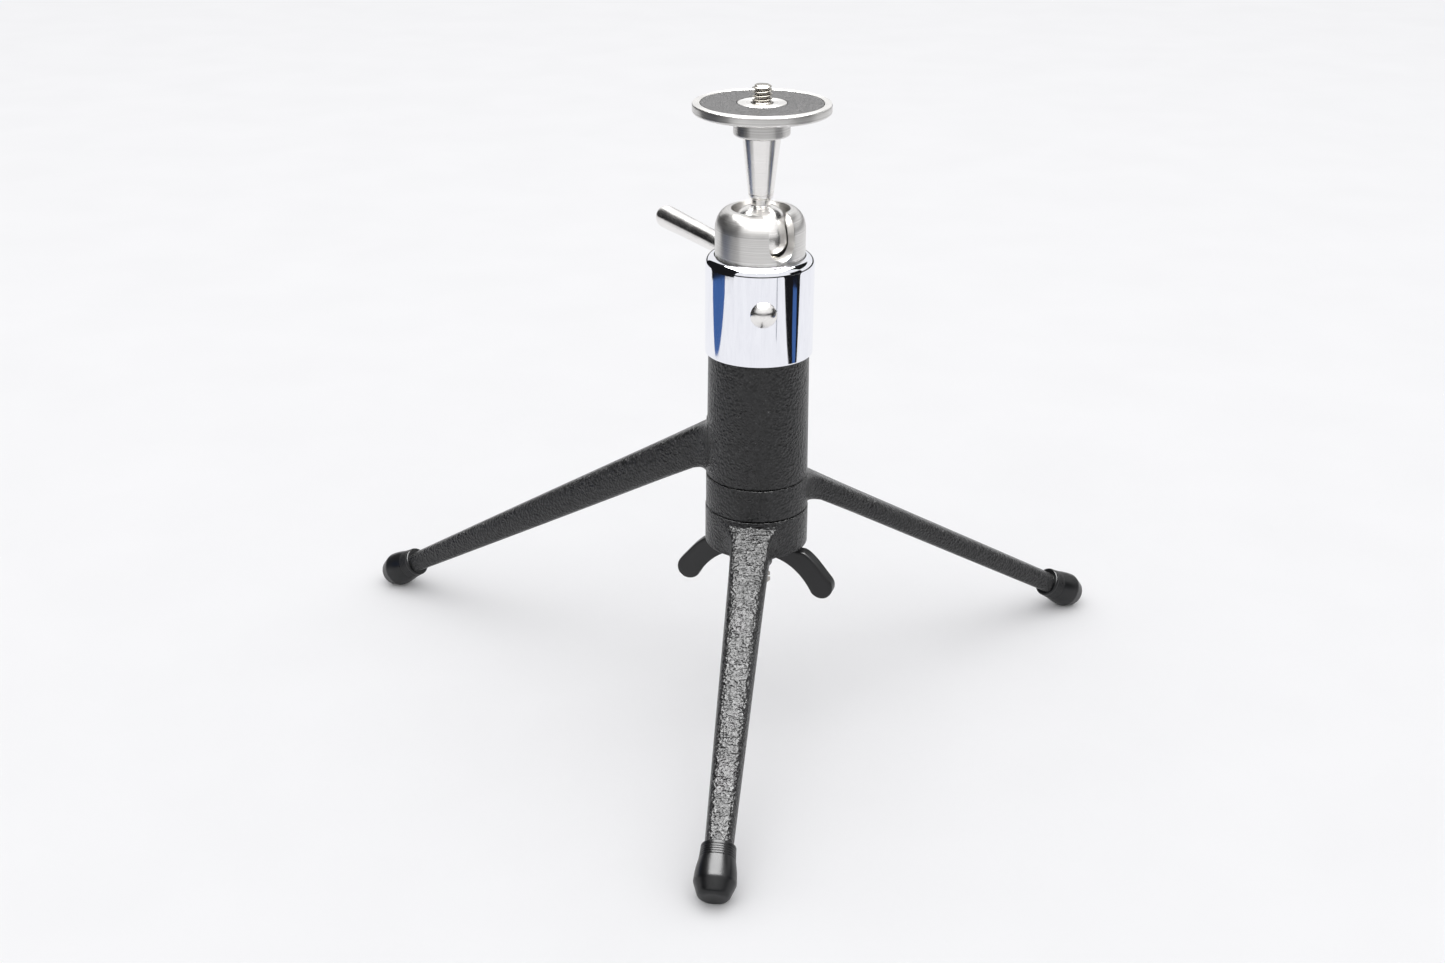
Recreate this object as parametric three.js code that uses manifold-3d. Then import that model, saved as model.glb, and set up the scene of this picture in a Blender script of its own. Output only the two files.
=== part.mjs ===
// Desk tripod: three cast legs that swing about one spindle, and a ball head on top.
// Millimetres, +Z up, the ground at z = 0. The group is centred over its own footprint.
import * as THREE from "three";
import { mergeVertices } from "three/addons/utils/BufferGeometryUtils.js";
import Module from "manifold-3d";

// ---- driving dimensions ----

const GAP = 0.3; // clearance left between neighbouring pieces

// Hubs, from the ground up
const GROUND_CLEARANCE = 59.9; // underside of the lowest hub
const LOWER_HUB_HEIGHT = 13.1;
const MIDDLE_HUB_HEIGHT = 11.0;
const COLUMN_HEIGHT = 42.4;
const COLUMN_INSET = 0.7; // the column's radius is less than the clamp collar's by this
const COLUMN_TAPER = 0.4; // lost from the column's radius towards its top
const MIDDLE_HUB_STEP = 0.2; // each lower hub stands a little proud of the one above
const LOWER_HUB_STEP = 0.4;
const HUB_EDGE = 0.5; // broken edges of the castings
const COLUMN_WALL = 5.0;
const COLUMN_FLOOR = 19.4; // solid metal under the column's cavity

// Legs: direction in degrees from +X, distance of the foot from the spindle, height of the
// arm's middle above its own hub's underside, and the arm's depth where it leaves the hub
const LEGS = {
  upper: { turn: 149.1, reach: 160.0, rootRise: 8.3, rootDepth: 15.2 },
  middle: { turn: 29.5, reach: 137.7, rootRise: 5.2, rootDepth: 8.7 },
  lower: { turn: -96.2, reach: 119.5, rootRise: 6.7, rootDepth: 9.2 },
};
const ARM_ROOT_WIDTH = 13.2;
const ARM_TIP_WIDTH = 8.6;
const ARM_TIP_DEPTH = 7.0;
const ARM_BURY = 1.6; // how far the arm starts inside its hub's wall
const ARM_FLARE = 10.0; // extra width where the arm spreads onto its hub
const ARM_FLARE_LENGTH = 10.0;
const ARM_SQUARENESS = 4; // 2 is an ellipse, higher is squarer
const ARM_SIDES = 20;
const ARM_STEPS = 10;

// Rubber boots
const BOOT_LENGTH = 16.6;
const BOOT_MOUTH_RADIUS = 5.35;
const BOOT_RADIUS = 6.45;
const BOOT_END_RADIUS = 4.5;
const BOOT_END_ROUND = 1.4;
const BOOT_SHOULDER_ROUND = 3.0;
const BOOT_SHOULDER = 5.2; // from the boot's end to the middle of its shoulder round
const BOOT_WAIST = 7.5; // from the mouth to where the barrel reaches its full radius
const BOOT_LIP = 2.0;
const BOOT_LIP_EDGE = 0.8;
const BOOT_CENTRE = 10.3; // from the mouth to the point that sets the reach
const BOOT_CENTRE_HEIGHT = 6.4;
const PEG_RADIUS = 3.0;
const PEG_LENGTH = 10.0;

// Spindle, washers and wing nut
const SPINDLE_RADIUS = 3.9;
const SPINDLE_END = 16.4; // reach of the spindle below the lowest hub
const SPINDLE_EDGE = 0.5;
const SPINDLE_GROOVE = 0.7; // depth of the stop ring's groove
const SPINDLE_GROOVE_RISE = 1.0;
const HEX_HEAD_RADIUS = 7.4;
const HEX_HEAD_HEIGHT = 4.6;
const FRICTION_RADIUS = 9.0;
const FRICTION_RECESS = 1.0; // depth of the washer's seat in each hub
const SPRING_RECESS = 2.2;
const SPRING_THICKNESS = 0.6;
const SPRING_WAVE = 0.35;
const THRUST_RADIUS = 10.6;
const THRUST_THICKNESS = 1.1;
const NUT_FLANGE_RADIUS = 9.6;
const NUT_FLANGE_THICKNESS = 3.2;
const NUT_BARREL_RADIUS = 5.6;
const NUT_HEIGHT = 7.6;
const NUT_TURN = 18.6; // direction of the wings, degrees from +X, clockwise seen from above
const WING_REACH = 23.5; // spindle to the centre of a wing's round end
const WING_DROP = 12.4; // from the nut's top to the centre of a wing's round end
const WING_HALF_DEPTH = 4.2;
const WING_THICKNESS = 4.6;
const WING_SLOPE = 50; // degrees below level of a wing's outer part
const WING_SHOULDER = 7.0; // from a wing's bend inwards of its round end
const WING_BEND = 2.4;
const WING_STRAIGHT = 6.5;
const WING_EDGE = 0.8;
const NUT_EDGE = 0.6;
const STOP_RING_THICKNESS = 1.2;
const STOP_RING_STEP = 1.4; // how far the ring stands out from the spindle

// Ball head, outwards from the ball
const BALL_RADIUS = 10.5;
const TUBE_WALL = 1.9; // the housing's lower tube
const CAM_WALL = 2.6;
const COLLAR_WALL = 1.6;
const SHOULDER = 1.7; // the housing's upper part stands this far out from its tube
const MOUTH_INSET = 1.2; // the mouth's radius is less than the ball's by this

// Ball head, upwards from the top of the column
const HEAD_FLANGE = 3.7;
const HEAD_SPIGOT = 7.0;
const RING_RISE = 9.0; // retaining ring
const RING_THICKNESS = 1.4;
const CAM_HEIGHT = 12.6;
const COLLAR_HEIGHT = 32.1;
const COLLAR_ROUND = 2.8;
const COLLAR_LIP = 3.0;
const PIN_RISE = 17.5; // domed pins
const CROSS_PIN_RISE = 20.2;
const LEVER_RISE = 28.7;
const BALL_RISE = 38.2; // ball centre
const HOUSING_RISE = 47.2; // rim of the housing
const HOUSING_ROUND = 4.2;
const CUP_RISE = 14.4;
const RING_SEAT_DEPTH = 0.6;
const CLAMP_TRAVEL = 0.8; // drop of the cup when the lever is fully loosened
const CLAMP_TURN = 75; // degrees that the lever turns for that drop

// Small head pieces
const STUD_RADIUS = 3.1;
const STUD_LENGTH = 9.4;
const STUD_PLATE_THICKNESS = 4.0;
const STUD_HEAD_THICKNESS = 2.4;
const STUD_HEAD_STEP = 2.2;
const STUD_EDGE = 0.6;
const HOUSING_SCREW_RADIUS = 1.2;
const HOUSING_SCREW_RISE = 6.3;
const HOUSING_SCREW_LENGTH = 5.1;
const PIN_HEAD_RADIUS = 4.3;
const PIN_HEAD_HEIGHT = 2.1;
const PIN_SHANK_RADIUS = 1.6;
const FRONT_PIN_TURN = -86.6;
const CROSS_PIN_RADIUS = 1.5;
const LEVER_TURN = 119.4;
const LEVER_REACH = 63.4; // spindle axis to the middle of the lever's round tip
const LEVER_TIP_RADIUS = 3.9;
const LEVER_ROOT_RADIUS = 3.3;
const LEVER_SPIGOT_RADIUS = 2.2;
const CUP_SPRING_THICKNESS = 0.8;
const CUP_SPRING_EYE = 4.6; // radius of the spring's hole

// Ball stem and platform, upwards from the ball's centre
const NECK_RADIUS = 3.1;
const STEM_ROOT_RADIUS = 3.9;
const STEM_TIP_RADIUS = 6.1;
const NECK_TOP = 12.6;
const STEM_TOP = 31.8;
const SPIGOT_RADIUS = 4.6;
const SPIGOT_LENGTH = 4.6;
const SCREW_SEAT_DEPTH = 4.0; // how far the camera screw reaches below the stem's shoulder
const STEM_EDGE = 0.2;
const SLOT_TURN = -62.0; // direction that the stem can drop to
const PLATFORM_RADIUS = 21.6;
const PLATFORM_THICKNESS = 3.3;
const PLATFORM_BOSS_RADIUS = 8.9;
const PLATFORM_BOSS_HEIGHT = 6.7;
const PAD_RADIUS = 19.0;
const PAD_BORE_RADIUS = 7.9;
const PAD_THICKNESS = 1.0;
const DISC_CHAMFER = 1.2;
const DISC_EDGE = 0.5;
const BOSS_EDGE = 0.8;
const SCREW_RADIUS = 3.175;
const SCREW_PITCH = 1.27;
const SCREW_THREAD_DEPTH = 0.7;
const SCREW_STAND = 5.5; // how far the screw stands above the platform

// Facets round each turned piece
const WIDE_SIDES = 32;
const SMALL_SIDES = 20;
const BALL_SIDES = 28;
const RIM_SIDES = 40;

// ---- sizes that follow ----

const BORE_RADIUS = SPINDLE_RADIUS + GAP;
const LOWER_HUB_BASE = GROUND_CLEARANCE;
const LOWER_HUB_TOP = LOWER_HUB_BASE + LOWER_HUB_HEIGHT;
const MIDDLE_HUB_BASE = LOWER_HUB_TOP + GAP;
const MIDDLE_HUB_TOP = MIDDLE_HUB_BASE + MIDDLE_HUB_HEIGHT;
const COLUMN_BASE = MIDDLE_HUB_TOP + GAP;
const COLUMN_TOP = COLUMN_BASE + COLUMN_HEIGHT;
const CAVITY_FLOOR = COLUMN_BASE + COLUMN_FLOOR;
const FRICTION_SEAT_RADIUS = FRICTION_RADIUS + GAP;
const HEAD_BASE = COLUMN_TOP + GAP;
const TUBE_BORE = BALL_RADIUS + GAP;
const TUBE_RADIUS = TUBE_BORE + TUBE_WALL;
const HOUSING_RADIUS = TUBE_RADIUS + SHOULDER;
const CAM_BORE = TUBE_RADIUS + GAP;
const CAM_RADIUS = CAM_BORE + CAM_WALL;
const COLLAR_BORE = CAM_RADIUS + GAP;
const COLLAR_RADIUS = COLLAR_BORE + COLLAR_WALL;
const COLUMN_RADIUS = COLLAR_RADIUS - COLUMN_INSET;
const CAVITY_RADIUS = COLUMN_RADIUS - COLUMN_WALL;
const MOUTH_RADIUS = BALL_RADIUS - MOUTH_INSET;
const BALL_CENTRE = HEAD_BASE + BALL_RISE;
const RIM = HEAD_BASE + HOUSING_RISE;
const HEAD_SPIGOT_TOP = HEAD_BASE + HEAD_FLANGE + HEAD_SPIGOT;
const RING_BASE = HEAD_BASE + RING_RISE;
const CAM_BASE = RING_BASE + RING_THICKNESS + GAP;
const CAM_TOP = CAM_BASE + CAM_HEIGHT;
const CUP_BASE = HEAD_BASE + CUP_RISE;
const CROSS_PIN_HEIGHT = HEAD_BASE + CROSS_PIN_RISE;
const STEM_SLOPE = (STEM_TIP_RADIUS - STEM_ROOT_RADIUS) / (STEM_TOP - NECK_TOP);
const SLOT_HALF_WIDTH = STEM_ROOT_RADIUS + STEM_SLOPE * (HOUSING_RADIUS - NECK_TOP) + GAP;
const PLATFORM_BASE = BALL_CENTRE + STEM_TOP + GAP;
const PLATFORM_TOP = PLATFORM_BASE + PLATFORM_BOSS_HEIGHT + PLATFORM_THICKNESS;
const STEM_SHOULDER = BALL_CENTRE + STEM_TOP;
const NUT_TOP = LOWER_HUB_BASE - THRUST_THICKNESS - 2 * GAP;
const SPINDLE_LOW = LOWER_HUB_BASE - SPINDLE_END;
const GROOVE_LOW = SPINDLE_LOW + SPINDLE_GROOVE_RISE;
const HOUSING_SCREW_HEIGHT = HEAD_BASE + HOUSING_SCREW_RISE;
const HOUSING_SCREW_TURNS = { left: 180, right: 0 };
const HOUSING_SCREW_ROOT = TUBE_RADIUS - HOUSING_SCREW_LENGTH - 0.2;
const PIN_TURNS = [FRONT_PIN_TURN, FRONT_PIN_TURN + 180];
const PIN_HEIGHT = HEAD_BASE + PIN_RISE;
const LEVER_HEIGHT = HEAD_BASE + LEVER_RISE;
const WELD = 1e-4; // vertices closer than this are one

// ---- materials ----

function finish(color, roughness, metalness) {
  return new THREE.MeshStandardMaterial({ color, roughness, metalness });
}

const enamel = finish(0x2c2c2e, 0.45, 0);
const blackPaint = finish(0x2a2a2c, 0.4, 0);
const rubber = finish(0x17181a, 0.5, 0);
const chrome = finish(0xe6e8ea, 0.06, 1);
const aluminium = finish(0xc9c8c4, 0.32, 1);
const steel = finish(0xb4b3b0, 0.3, 1);
const leather = finish(0x6a6766, 0.75, 0);
const fibre = finish(0x5a3b26, 0.7, 0);

// ---- solids ----

function manifoldOf(vertProperties, triVerts) {
  return new wasm.Manifold(new wasm.Mesh({ numProp: 3, vertProperties, triVerts }));
}

// A closed geometry as a solid. Vertices are welded, collapsed faces dropped, and a shape
// whose outline ran the other way is turned to face outwards.
function solid(geometry) {
  const bare = geometry.clone();
  bare.deleteAttribute("normal");
  bare.deleteAttribute("uv");
  const welded = mergeVertices(bare, WELD);
  const index = welded.index.array;
  const faces = [];
  for (let i = 0; i < index.length; i += 3) {
    const [a, b, c] = [index[i], index[i + 1], index[i + 2]];
    if (a !== b && b !== c && c !== a) faces.push([a, b, c]);
  }
  const points = welded.attributes.position.array;
  const made = manifoldOf(points, new Uint32Array(faces.flat()));
  if (made.volume() > 0) return made;
  return manifoldOf(points, new Uint32Array(faces.map(([a, b, c]) => [a, c, b]).flat()));
}

// Outline points [radius, height] turned about Z.
function turnedGeometry(outline, sides) {
  const points = outline.map(([radius, height]) => new THREE.Vector2(radius, height));
  return new THREE.LatheGeometry(points, sides).rotateX(Math.PI / 2);
}

function turned(outline, sides = SMALL_SIDES) {
  return solid(turnedGeometry(outline, sides));
}

// Outline of a ring section between two radii and two heights.
function ringOutline(inner, outer, low, high, edge = 0) {
  return [
    [inner, low],
    [outer - edge, low],
    [outer, low + edge],
    [outer, high - edge],
    [outer - edge, high],
    [inner, high],
    [inner, low],
  ];
}

function rodGeometry(radius, low, high, sides = SMALL_SIDES) {
  const rod = new THREE.CylinderGeometry(radius, radius, high - low, sides);
  return rod.rotateX(Math.PI / 2).translate(0, 0, (low + high) / 2);
}

function rod(radius, low, high, sides = SMALL_SIDES) {
  return solid(rodGeometry(radius, low, high, sides));
}

// Points of an arc from one angle to another, in degrees, both ends included.
function arc(centreX, centreY, radius, from, to, steps) {
  const points = [];
  for (let i = 0; i <= steps; i += 1) {
    const angle = THREE.MathUtils.degToRad(from + ((to - from) * i) / steps);
    points.push([centreX + radius * Math.cos(angle), centreY + radius * Math.sin(angle)]);
  }
  return points;
}

// Lays a geometry built along +Z down to point outwards at a height and a direction.
function radial(geometry, turn, height) {
  geometry.rotateY(Math.PI / 2);
  geometry.rotateZ(THREE.MathUtils.degToRad(turn));
  return geometry.translate(0, 0, height);
}

// A box bent round Z: between two angles, two radii, and a height that climbs with the angle.
function bentBox(from, to, inner, outer, lowStart, lowEnd, height) {
  const bent = new THREE.BoxGeometry(1, 1, 1, 10, 1, 1);
  const position = bent.attributes.position;
  for (let i = 0; i < position.count; i += 1) {
    const share = position.getX(i) + 0.5;
    const angle = THREE.MathUtils.degToRad(from + (to - from) * share);
    const radius = inner + (outer - inner) * (position.getY(i) + 0.5);
    const low = lowStart + (lowEnd - lowStart) * share;
    const z = low + height * (position.getZ(i) + 0.5);
    position.setXYZ(i, radius * Math.cos(angle), radius * Math.sin(angle), z);
  }
  return solid(bent);
}

// ---- legs ----

// Where a leg's arm runs, in its own plane: X outwards from the spindle, Z up.
function armLine(leg, hubBase, hubRadius) {
  const root = new THREE.Vector3(hubRadius, 0, hubBase + leg.rootRise);
  const foot = new THREE.Vector3(leg.reach, 0, BOOT_CENTRE_HEIGHT);
  const direction = foot.clone().sub(root).normalize();
  const mouth = foot.clone().addScaledVector(direction, -BOOT_CENTRE);
  const start = root.clone().addScaledVector(direction, -ARM_BURY / direction.x);
  return { start, mouth, direction };
}

function rounded(value) {
  return Math.sign(value) * Math.abs(value) ** (2 / ARM_SQUARENESS);
}

// The tapered arm: rounded oblong sections carried along its line, upright at the hub and
// square to the line at the boot, and spread sideways where it runs onto the hub.
function armSolid(leg, line, hubRadius) {
  const arm = new THREE.CylinderGeometry(1, 1, 1, ARM_SIDES, ARM_STEPS);
  const position = arm.attributes.position;
  const end = line.mouth.clone().addScaledVector(line.direction, -GAP);
  const across = new THREE.Vector3(-line.direction.z, 0, line.direction.x);
  const startRadius = hubRadius - ARM_BURY;
  for (let i = 0; i < position.count; i += 1) {
    const share = (position.getY(i) + 0.5) ** 1.6;
    const centre = line.start.clone().lerp(end, share);
    const spread = Math.max(0, 1 - (centre.x - startRadius) / ARM_FLARE_LENGTH);
    const width =
      THREE.MathUtils.lerp(ARM_ROOT_WIDTH, ARM_TIP_WIDTH, share) + ARM_FLARE * spread ** 2;
    const depth = THREE.MathUtils.lerp(leg.rootDepth, ARM_TIP_DEPTH, share);
    const up = new THREE.Vector3(0, 0, 1).lerp(across, share);
    const side = (rounded(position.getX(i)) * width) / 2;
    const lift = (rounded(position.getZ(i)) * depth) / 2;
    const bend = spread * (centre.x - Math.sqrt(Math.max(0, centre.x ** 2 - side ** 2)));
    const point = centre.addScaledVector(up, lift);
    position.setXYZ(i, point.x - bend, side, point.z);
  }
  return solid(arm);
}

// Moves a geometry built along +Z onto a leg's line, with its origin at the boot's mouth.
function ontoLine(geometry, line) {
  const tilt = new THREE.Quaternion();
  tilt.setFromUnitVectors(new THREE.Vector3(0, 0, 1), line.direction);
  return geometry.applyQuaternion(tilt).translate(line.mouth.x, line.mouth.y, line.mouth.z);
}

function pegSolid(line) {
  return solid(ontoLine(rodGeometry(PEG_RADIUS, -BOOT_MOUTH_RADIUS, PEG_LENGTH), line));
}

// Washer seats: a shallow round recess cut into a hub's face.
function seat(radius, low, high) {
  return rod(radius, low, high, WIDE_SIDES);
}

function legSolid(leg, blank, line, hubRadius) {
  const casting = blank.add(armSolid(leg, line, hubRadius)).add(pegSolid(line));
  return casting.subtract(rod(BORE_RADIUS, 0, CAVITY_FLOOR + GAP));
}

function upperLeg() {
  const topRadius = COLUMN_RADIUS - COLUMN_TAPER;
  const column = turned(
    [
      [0, COLUMN_BASE],
      [COLUMN_RADIUS - HUB_EDGE, COLUMN_BASE],
      [COLUMN_RADIUS, COLUMN_BASE + HUB_EDGE],
      [topRadius, COLUMN_TOP - HUB_EDGE],
      [topRadius - HUB_EDGE, COLUMN_TOP],
      [CAVITY_RADIUS, COLUMN_TOP],
      [CAVITY_RADIUS, CAVITY_FLOOR],
      [0, CAVITY_FLOOR],
    ],
    WIDE_SIDES,
  );
  const line = armLine(LEGS.upper, COLUMN_BASE, COLUMN_RADIUS);
  const casting = legSolid(LEGS.upper, column, line, COLUMN_RADIUS);
  const recess = seat(FRICTION_SEAT_RADIUS, COLUMN_BASE - GAP, COLUMN_BASE + FRICTION_RECESS);
  return { casting: casting.subtract(recess), line };
}

function hubBlank(radius, base, top) {
  return turned(ringOutline(0, radius, base, top, HUB_EDGE).slice(0, -1), WIDE_SIDES);
}

function middleLeg() {
  const radius = COLUMN_RADIUS + MIDDLE_HUB_STEP;
  const blank = hubBlank(radius, MIDDLE_HUB_BASE, MIDDLE_HUB_TOP);
  const line = armLine(LEGS.middle, MIDDLE_HUB_BASE, radius);
  const casting = legSolid(LEGS.middle, blank, line, radius)
    .subtract(seat(FRICTION_SEAT_RADIUS, MIDDLE_HUB_TOP - FRICTION_RECESS, MIDDLE_HUB_TOP + GAP))
    .subtract(seat(FRICTION_SEAT_RADIUS, MIDDLE_HUB_BASE - GAP, MIDDLE_HUB_BASE + FRICTION_RECESS));
  return { casting, line };
}

function lowerLeg() {
  const radius = COLUMN_RADIUS + LOWER_HUB_STEP;
  const blank = hubBlank(radius, LOWER_HUB_BASE, LOWER_HUB_TOP);
  const line = armLine(LEGS.lower, LOWER_HUB_BASE, radius);
  const casting = legSolid(LEGS.lower, blank, line, radius)
    .subtract(seat(FRICTION_SEAT_RADIUS, LOWER_HUB_TOP - FRICTION_RECESS, LOWER_HUB_TOP + GAP))
    .subtract(seat(FRICTION_SEAT_RADIUS, LOWER_HUB_BASE - GAP, LOWER_HUB_BASE + SPRING_RECESS));
  return { casting, line };
}

// A boot: a barrel with a lip at its mouth and a tapered end, cut flat where it stands.
function boot(line) {
  const socket = PEG_RADIUS + GAP;
  const endHeight = BOOT_LENGTH - BOOT_END_ROUND;
  const shoulder = BOOT_LENGTH - BOOT_SHOULDER;
  const outline = [
    [0, BOOT_LENGTH],
    ...arc(BOOT_END_RADIUS - BOOT_END_ROUND, endHeight, BOOT_END_ROUND, 90, 30, 3),
    ...arc(BOOT_RADIUS - BOOT_SHOULDER_ROUND, shoulder, BOOT_SHOULDER_ROUND, 30, 0, 3),
    [BOOT_RADIUS - 0.1, BOOT_WAIST],
    [BOOT_MOUTH_RADIUS + 0.1, BOOT_LIP],
    [BOOT_MOUTH_RADIUS, BOOT_LIP_EDGE],
    [BOOT_MOUTH_RADIUS - 0.6, 0],
    [socket, 0],
    [socket, PEG_LENGTH + GAP],
    [0, PEG_LENGTH + GAP],
  ];
  const body = solid(ontoLine(turnedGeometry(outline, SMALL_SIDES), line));
  const ground = new THREE.BoxGeometry(4 * BOOT_LENGTH, 4 * BOOT_LENGTH, 10);
  return body.subtract(solid(ground.translate(line.mouth.x, 0, -5)));
}

// ---- spindle, washers and wing nut ----

function spindleBolt() {
  const headBase = CAVITY_FLOOR + GAP;
  const head = rod(HEX_HEAD_RADIUS, headBase, headBase + HEX_HEAD_HEIGHT, 6);
  const grooveHigh = GROOVE_LOW + STOP_RING_THICKNESS + 2 * GAP;
  const shank = turned([
    [0, SPINDLE_LOW],
    [SPINDLE_RADIUS - SPINDLE_EDGE, SPINDLE_LOW],
    [SPINDLE_RADIUS, SPINDLE_LOW + SPINDLE_EDGE],
    [SPINDLE_RADIUS, GROOVE_LOW],
    [SPINDLE_RADIUS - SPINDLE_GROOVE, GROOVE_LOW],
    [SPINDLE_RADIUS - SPINDLE_GROOVE, grooveHigh],
    [SPINDLE_RADIUS, grooveHigh],
    [SPINDLE_RADIUS, headBase + 1],
    [0, headBase + 1],
  ]);
  return shank.add(head);
}

function frictionWasher(hubTop) {
  const low = hubTop - FRICTION_RECESS + GAP;
  const high = hubTop + FRICTION_RECESS;
  return turned(ringOutline(BORE_RADIUS, FRICTION_RADIUS, low, high, 0.2));
}

// A three-wave spring washer in the seat under the lowest hub.
function springWasher() {
  const middle = LOWER_HUB_BASE + SPRING_RECESS / 2 - 2 * GAP;
  const outline = ringOutline(
    BORE_RADIUS,
    FRICTION_RADIUS,
    middle,
    middle + SPRING_THICKNESS,
  );
  const washer = turnedGeometry(outline, 24);
  const position = washer.attributes.position;
  for (let i = 0; i < position.count; i += 1) {
    const angle = Math.atan2(position.getY(i), position.getX(i));
    position.setZ(i, position.getZ(i) + SPRING_WAVE * Math.cos(3 * angle) + SPRING_WAVE);
  }
  return solid(washer);
}

function thrustWasher() {
  const low = LOWER_HUB_BASE - GAP - THRUST_THICKNESS;
  return turned(ringOutline(BORE_RADIUS, THRUST_RADIUS, low, low + THRUST_THICKNESS, 0.2));
}

// One wing's side outline: level from the flange, then down to a round end.
function wingSolid() {
  const slope = THREE.MathUtils.degToRad(WING_SLOPE);
  const shoulder = WING_REACH - WING_SHOULDER;
  const start = NUT_BARREL_RADIUS - 1;
  const straight = [
    WING_REACH + WING_HALF_DEPTH * Math.sin(slope) - WING_STRAIGHT * Math.cos(slope),
    WING_HALF_DEPTH * Math.cos(slope) + WING_STRAIGHT * Math.sin(slope) - WING_DROP,
  ];
  const shape = new THREE.Shape();
  shape.moveTo(start, 0);
  shape.lineTo(shoulder, -WING_EDGE / 2);
  shape.quadraticCurveTo(shoulder + WING_BEND, -WING_EDGE, ...straight);
  const end = arc(WING_REACH, -WING_DROP, WING_HALF_DEPTH, 90 - WING_SLOPE, -90 - WING_SLOPE, 6);
  end.forEach(([x, y]) => shape.lineTo(x, y));
  shape.quadraticCurveTo(
    shoulder - 2 * WING_EDGE,
    -NUT_FLANGE_THICKNESS - 2 * WING_EDGE,
    start,
    -NUT_FLANGE_THICKNESS,
  );
  const depth = WING_THICKNESS - 2 * WING_EDGE;
  const plate = new THREE.ExtrudeGeometry(shape, {
    depth,
    bevelThickness: WING_EDGE,
    bevelSize: NUT_EDGE,
    bevelOffset: -NUT_EDGE,
    bevelSegments: 1,
    curveSegments: 4,
  });
  plate.translate(0, 0, -depth / 2);
  return plate.rotateX(Math.PI / 2).translate(0, 0, NUT_TOP);
}

function wingNut() {
  const flangeLow = NUT_TOP - NUT_FLANGE_THICKNESS;
  const flange = ringOutline(0, NUT_FLANGE_RADIUS, flangeLow, NUT_TOP, NUT_EDGE);
  let nut = turned(flange.slice(0, -1));
  nut = nut.add(rod(NUT_BARREL_RADIUS, NUT_TOP - NUT_HEIGHT, NUT_TOP - 1));
  for (const half of [0, Math.PI]) {
    const turn = half - THREE.MathUtils.degToRad(NUT_TURN);
    nut = nut.add(solid(wingSolid().rotateZ(turn)));
  }
  return nut.subtract(rod(BORE_RADIUS, NUT_TOP - NUT_HEIGHT - 1, NUT_TOP + 1));
}

// A snap ring: a C-shaped outline with a gap on one side.
function snapRing(inner, outer, low, thickness) {
  const outline = [...arc(0, 0, outer, 20, 340, 28), ...arc(0, 0, inner, 340, 20, 28)];
  const shape = new THREE.Shape(outline.map(([x, y]) => new THREE.Vector2(x, y)));
  const ring = new THREE.ExtrudeGeometry(shape, { depth: thickness, bevelEnabled: false });
  return solid(ring.translate(0, 0, low));
}

function nutStopRing() {
  const inner = SPINDLE_RADIUS - SPINDLE_GROOVE + GAP;
  return snapRing(inner, SPINDLE_RADIUS + STOP_RING_STEP, GROOVE_LOW + GAP, STOP_RING_THICKNESS);
}

// ---- head base ----

function studPlate() {
  const low = COLUMN_TOP - STUD_PLATE_THICKNESS;
  const outline = ringOutline(STUD_RADIUS + GAP, CAVITY_RADIUS - GAP, low, COLUMN_TOP, 0.4);
  return turned(outline, WIDE_SIDES);
}

function headStud() {
  const plateBase = COLUMN_TOP - STUD_PLATE_THICKNESS;
  const top = HEAD_BASE + STUD_LENGTH;
  const headTop = plateBase - GAP;
  return turned([
    [0, headTop - STUD_HEAD_THICKNESS],
    [STUD_RADIUS + STUD_HEAD_STEP, headTop - STUD_HEAD_THICKNESS],
    [STUD_RADIUS + STUD_HEAD_STEP, headTop],
    [STUD_RADIUS, headTop],
    [STUD_RADIUS, top - STUD_EDGE],
    [STUD_RADIUS - STUD_EDGE, top],
    [0, top],
  ]);
}

function screwHole(turn, radius, from, to, height) {
  return solid(radial(rodGeometry(radius, from, to, 16), turn, height));
}

function headBase() {
  const bore = STUD_RADIUS + GAP;
  const flangeTop = HEAD_BASE + HEAD_FLANGE;
  let base = turned(
    [
      [bore, HEAD_BASE],
      [CAM_RADIUS - 0.4, HEAD_BASE],
      [CAM_RADIUS, HEAD_BASE + 0.4],
      [CAM_RADIUS, flangeTop],
      [TUBE_BORE - GAP, flangeTop],
      [TUBE_BORE - GAP, HEAD_SPIGOT_TOP],
      [bore, HEAD_SPIGOT_TOP],
      [bore, HEAD_BASE],
    ],
    WIDE_SIDES,
  );
  for (const turn of Object.values(HOUSING_SCREW_TURNS)) {
    const radius = HOUSING_SCREW_RADIUS + GAP;
    base = base.subtract(
      screwHole(turn, radius, HOUSING_SCREW_ROOT - GAP, CAM_RADIUS, HOUSING_SCREW_HEIGHT),
    );
  }
  return base;
}

function housingScrew(turn) {
  return screwHole(
    turn,
    HOUSING_SCREW_RADIUS,
    HOUSING_SCREW_ROOT,
    TUBE_RADIUS - 0.2,
    HOUSING_SCREW_HEIGHT,
  );
}

// ---- ball housing ----

// The slot that lets the stem drop to the side: a round-ended channel open at the rim.
function stemSlot() {
  const reach = HOUSING_RADIUS + 2;
  const inner = 4;
  const channel = new THREE.BoxGeometry(HOUSING_RISE, 2 * SLOT_HALF_WIDTH, reach - inner);
  channel.translate(-HOUSING_RISE / 2, 0, (reach + inner) / 2);
  const upright = solid(radial(channel, SLOT_TURN, BALL_CENTRE));
  return upright.add(
    solid(radial(rodGeometry(SLOT_HALF_WIDTH, inner, reach, 28), SLOT_TURN, BALL_CENTRE)),
  );
}

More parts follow.
